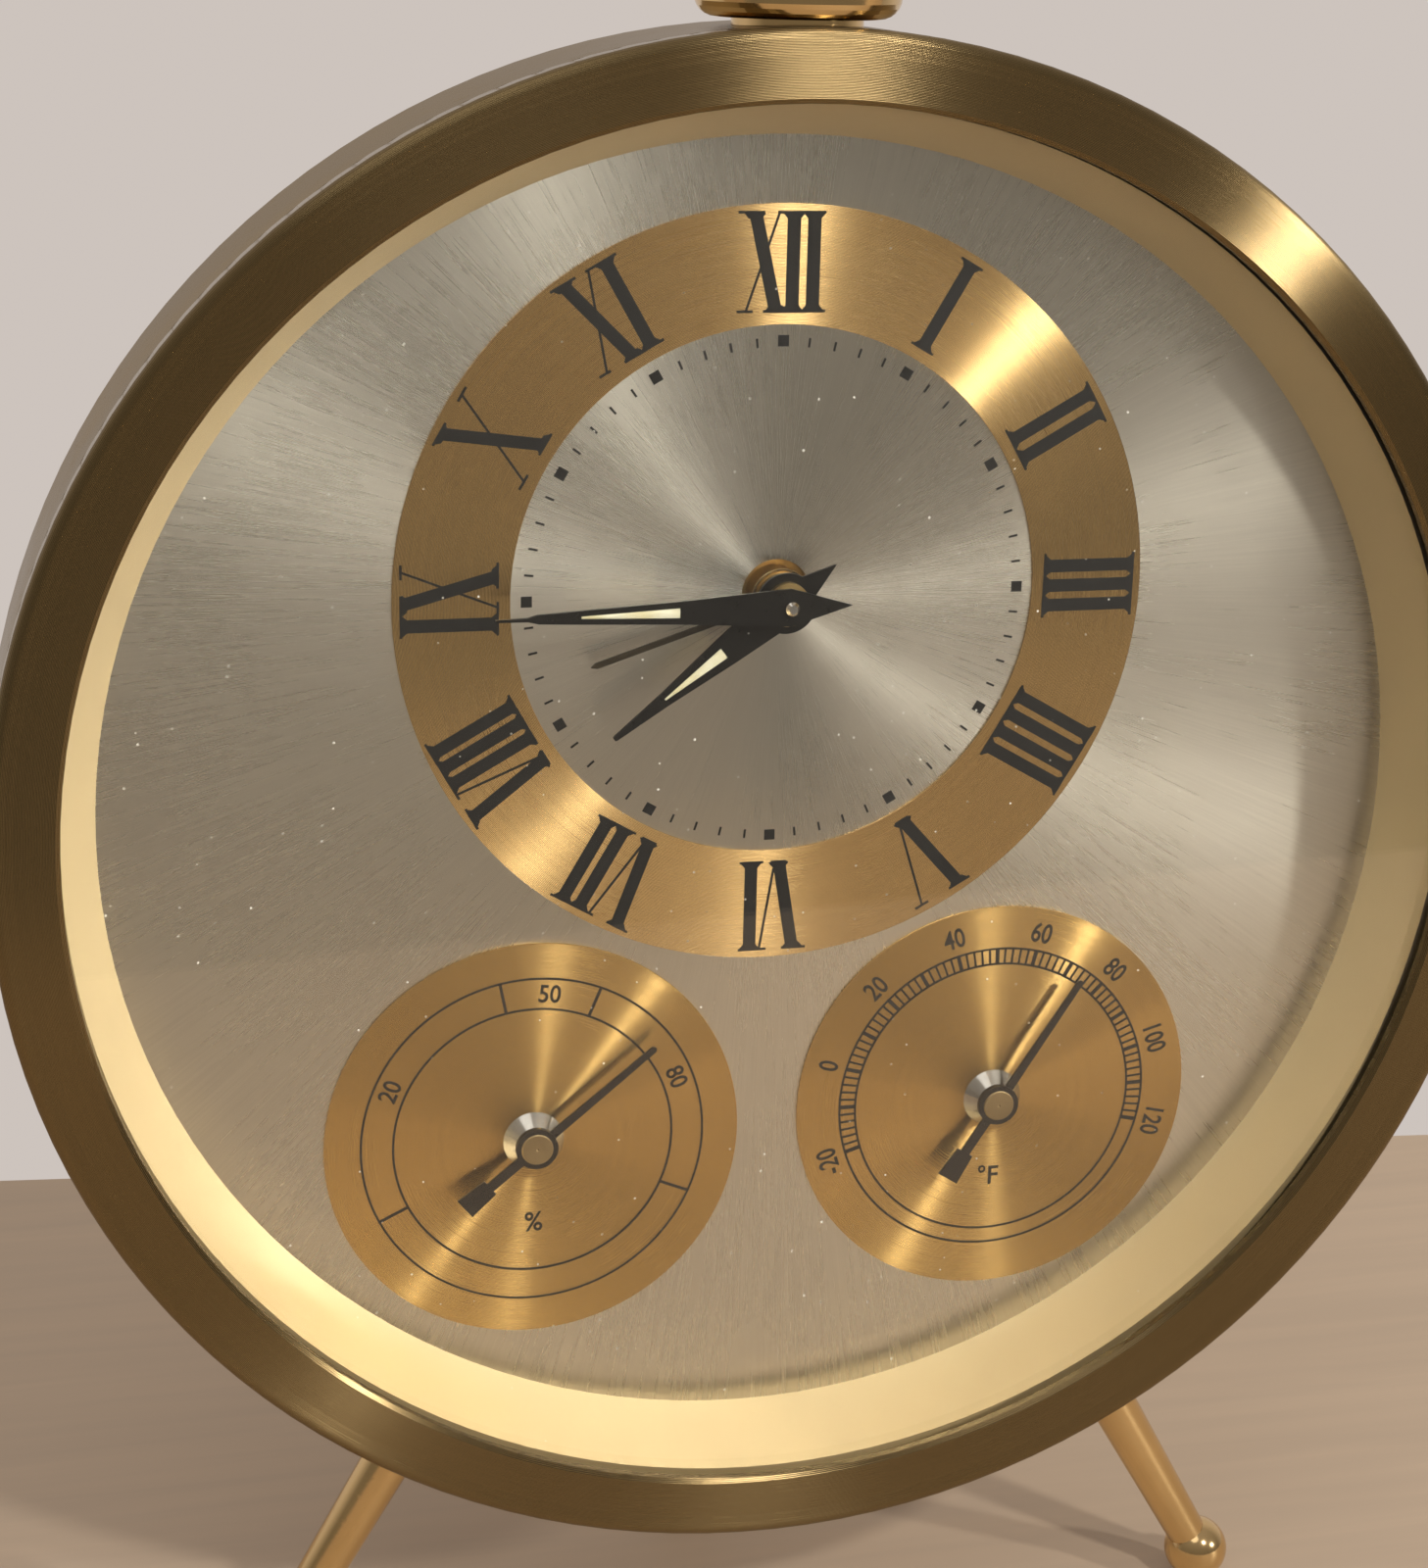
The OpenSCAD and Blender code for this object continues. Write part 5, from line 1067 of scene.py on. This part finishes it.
# Lamps: name, place and diameter in metres, and colour.
LAMP_AIM = (0, 0, 0.08)
LAMPS = (
    ("key_lamp", (0.72, -0.62, 0.38), 0.06, (1.0, 0.95, 0.88)),
    ("top_lamp", (0.27, -0.75, 0.68), 0.07, (1.0, 0.95, 0.88)),
    ("fill_lamp", (-0.3, -0.5, 0.95), 0.6, (1.0, 0.97, 0.94)),
)
# The camera that was solved from the photograph: place, direction, up, and sensor width.
CAMERA_PLACE = (-0.05805, -0.23322, 0.14898)
CAMERA_FORWARD = (0.22526, 0.92934, -0.29256)
CAMERA_UP = (0.04663, 0.28965, 0.95600)
SENSOR_WIDTH = 36.0


class CLOCK_OT_studio(bpy.types.Operator):
    """Set up the pale table, the lamps, the room's light and the camera"""

    bl_idname = "clock.studio"
    bl_label = "Studio"

    def execute(self, context):
        studio = context.scene.clock_studio
        self.table(studio)
        self.world(context, studio)
        self.lamps(studio)
        self.camera(context, studio)
        context.scene.view_settings.view_transform = "Standard"
        return {"FINISHED"}

    def table(self, studio):
        """A plain pale table top whose back edge lies behind the clock."""
        work = bmesh.new()
        outline = bar(-TABLE_HALF, TABLE_HALF, TABLE_FRONT, TABLE_BACK)
        verts = [work.verts.new((x, y, 0.0)) for x, y in outline]
        top = work.faces.new(verts)
        pushed = bmesh.ops.extrude_face_region(work, geom=[top])
        lower = [v for v in pushed["geom"] if isinstance(v, bmesh.types.BMVert)]
        bmesh.ops.translate(work, vec=(0, 0, -TABLE_THICK), verts=lower)
        bmesh.ops.recalc_face_normals(work, faces=work.faces)
        bmesh.ops.bevel(
            work, geom=list(work.edges), offset=TABLE_ROUND, segments=3, affect="EDGES")
        mesh = bpy.data.meshes.new("table_top")
        work.to_mesh(mesh)
        work.free()
        mesh.transform(Matrix.Rotation(math.radians(TABLE_TURN), 4, "Z")
                       @ Matrix.Translation((0, 0, -TABLE_DROP)))
        table = add_object("table_top", mesh)
        material, tree, shader, _ = start_material("pale_table")
        stretched = put(tree, "ShaderNodeMapping", {
            "Vector": object_place(tree), "Scale": (3.0, 40.0, 3.0)}).outputs[0]
        grain = noise(tree, 6.0, 5.0, stretched, Distortion=0.6)
        feed(tree, shader, {
            "Base Color": mottled(tree, grain, studio.table, 0.94, 1.04),
            "Roughness": spread(tree, grain, 0.3, 0.7, 0.5, 0.62)})
        mesh.materials.append(material)

    def world(self, context, studio):
        """A pale wall behind the clock and a dim room in front of it."""
        world = bpy.data.worlds.new("room")
        context.scene.world = world
        world.use_nodes = True
        tree = world.node_tree
        tree.nodes.clear()
        direction = put(tree, "ShaderNodeTexCoord").outputs["Generated"]
        parts = put(tree, "ShaderNodeSeparateXYZ", {0: direction}).outputs
        behind = spread(tree, parts["Y"], -0.25, 0.45, 0.0, 1.0)
        above = spread(tree, parts["Z"], 0.1, 1.0, 0.0, 0.5)
        mask = maths(tree, "MAXIMUM", behind, above)
        seen = tree.nodes.new("ShaderNodeLightPath").outputs["Is Camera Ray"]
        mask = maths(tree, "MAXIMUM", mask, seen)
        colour = blend_colour(tree, mask, opaque(studio.room), opaque(studio.wall))
        background = put(tree, "ShaderNodeBackground", {"Color": colour, "Strength": 1.0})
        output = tree.nodes.new("ShaderNodeOutputWorld")
        tree.links.new(background.outputs[0], output.inputs[0])

    def lamps(self, studio):
        """Two small lamps, a key at the right and one above, and a wide soft fill at the left."""
        aim = Vector(LAMP_AIM)
        powers = (studio.key_power, studio.top_power, studio.fill_power)
        for (name, spot, size, colour), power in zip(LAMPS, powers):
            data = bpy.data.lights.new(name, "AREA")
            data.shape = "DISK"
            data.size = size
            data.energy = power
            data.color = colour
            lamp = add_object(name, data)
            lamp.location = spot
            lamp.rotation_euler = (aim - Vector(spot)).to_track_quat("-Z", "Y").to_euler()

    def camera(self, context, studio):
        """The photograph's viewpoint."""
        data = bpy.data.cameras.new("camera")
        data.lens = studio.lens
        data.sensor_width = SENSOR_WIDTH
        data.clip_start = 0.01
        camera = add_object("camera", data)
        forward = Vector(CAMERA_FORWARD).normalized()
        up = Vector(CAMERA_UP)
        right = forward.cross(up).normalized()
        up = right.cross(forward)
        turn = Matrix((right, up, -forward)).transposed()
        camera.matrix_world = Matrix.Translation(CAMERA_PLACE) @ turn.to_4x4()
        context.scene.camera = camera


class CLOCK_PT_panel(bpy.types.Panel):
    """Lists the clock's operators and settings"""

    bl_label = "Weather Dial Table Clock"
    bl_idname = "CLOCK_PT_panel"
    bl_space_type = "VIEW_3D"
    bl_region_type = "UI"
    bl_category = "Clock"

    def draw(self, context):
        layout = self.layout
        for group, operators in PANEL_ROWS:
            box = layout.box()
            settings = getattr(context.scene, group)
            for name in settings.__annotations__:
                box.prop(settings, name)
            for operator in operators:
                box.operator(operator.bl_idname)


SETTINGS = (
    ("clock_finishes", ClockFinishSettings),
    ("clock_dial", ClockDialSettings),
    ("clock_weather", ClockWeatherSettings),
    ("clock_studio", ClockStudioSettings),
)
OPERATORS = (
    CLOCK_OT_case, CLOCK_OT_dial, CLOCK_OT_numerals, CLOCK_OT_minute_track,
    CLOCK_OT_weather_scales, CLOCK_OT_hands, CLOCK_OT_movement, CLOCK_OT_studio,
)
PANEL_ROWS = (
    ("clock_finishes", (CLOCK_OT_case, CLOCK_OT_dial, CLOCK_OT_hands, CLOCK_OT_movement)),
    ("clock_dial", (CLOCK_OT_numerals, CLOCK_OT_minute_track)),
    ("clock_weather", (CLOCK_OT_weather_scales,)),
    ("clock_studio", (CLOCK_OT_studio,)),
)


def register():
    for name, group in SETTINGS:
        bpy.utils.register_class(group)
        setattr(bpy.types.Scene, name, PointerProperty(type=group))
    for operator in OPERATORS:
        bpy.utils.register_class(operator)
    bpy.utils.register_class(CLOCK_PT_panel)


def unregister():
    bpy.utils.unregister_class(CLOCK_PT_panel)
    for operator in reversed(OPERATORS):
        bpy.utils.unregister_class(operator)
    for name, group in reversed(SETTINGS):
        delattr(bpy.types.Scene, name)
        bpy.utils.unregister_class(group)


def main():
    """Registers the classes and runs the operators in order."""
    register()
    make_groove_group()
    make_sunray_group()
    make_dust_group()
    make_handling_group()
    for operator in OPERATORS:
        area, action = operator.bl_idname.split(".")
        if getattr(getattr(bpy.ops, area), action)() != {"FINISHED"}:
            raise RuntimeError(operator.bl_label + " did not finish")


if __name__ == "__main__":
    main()
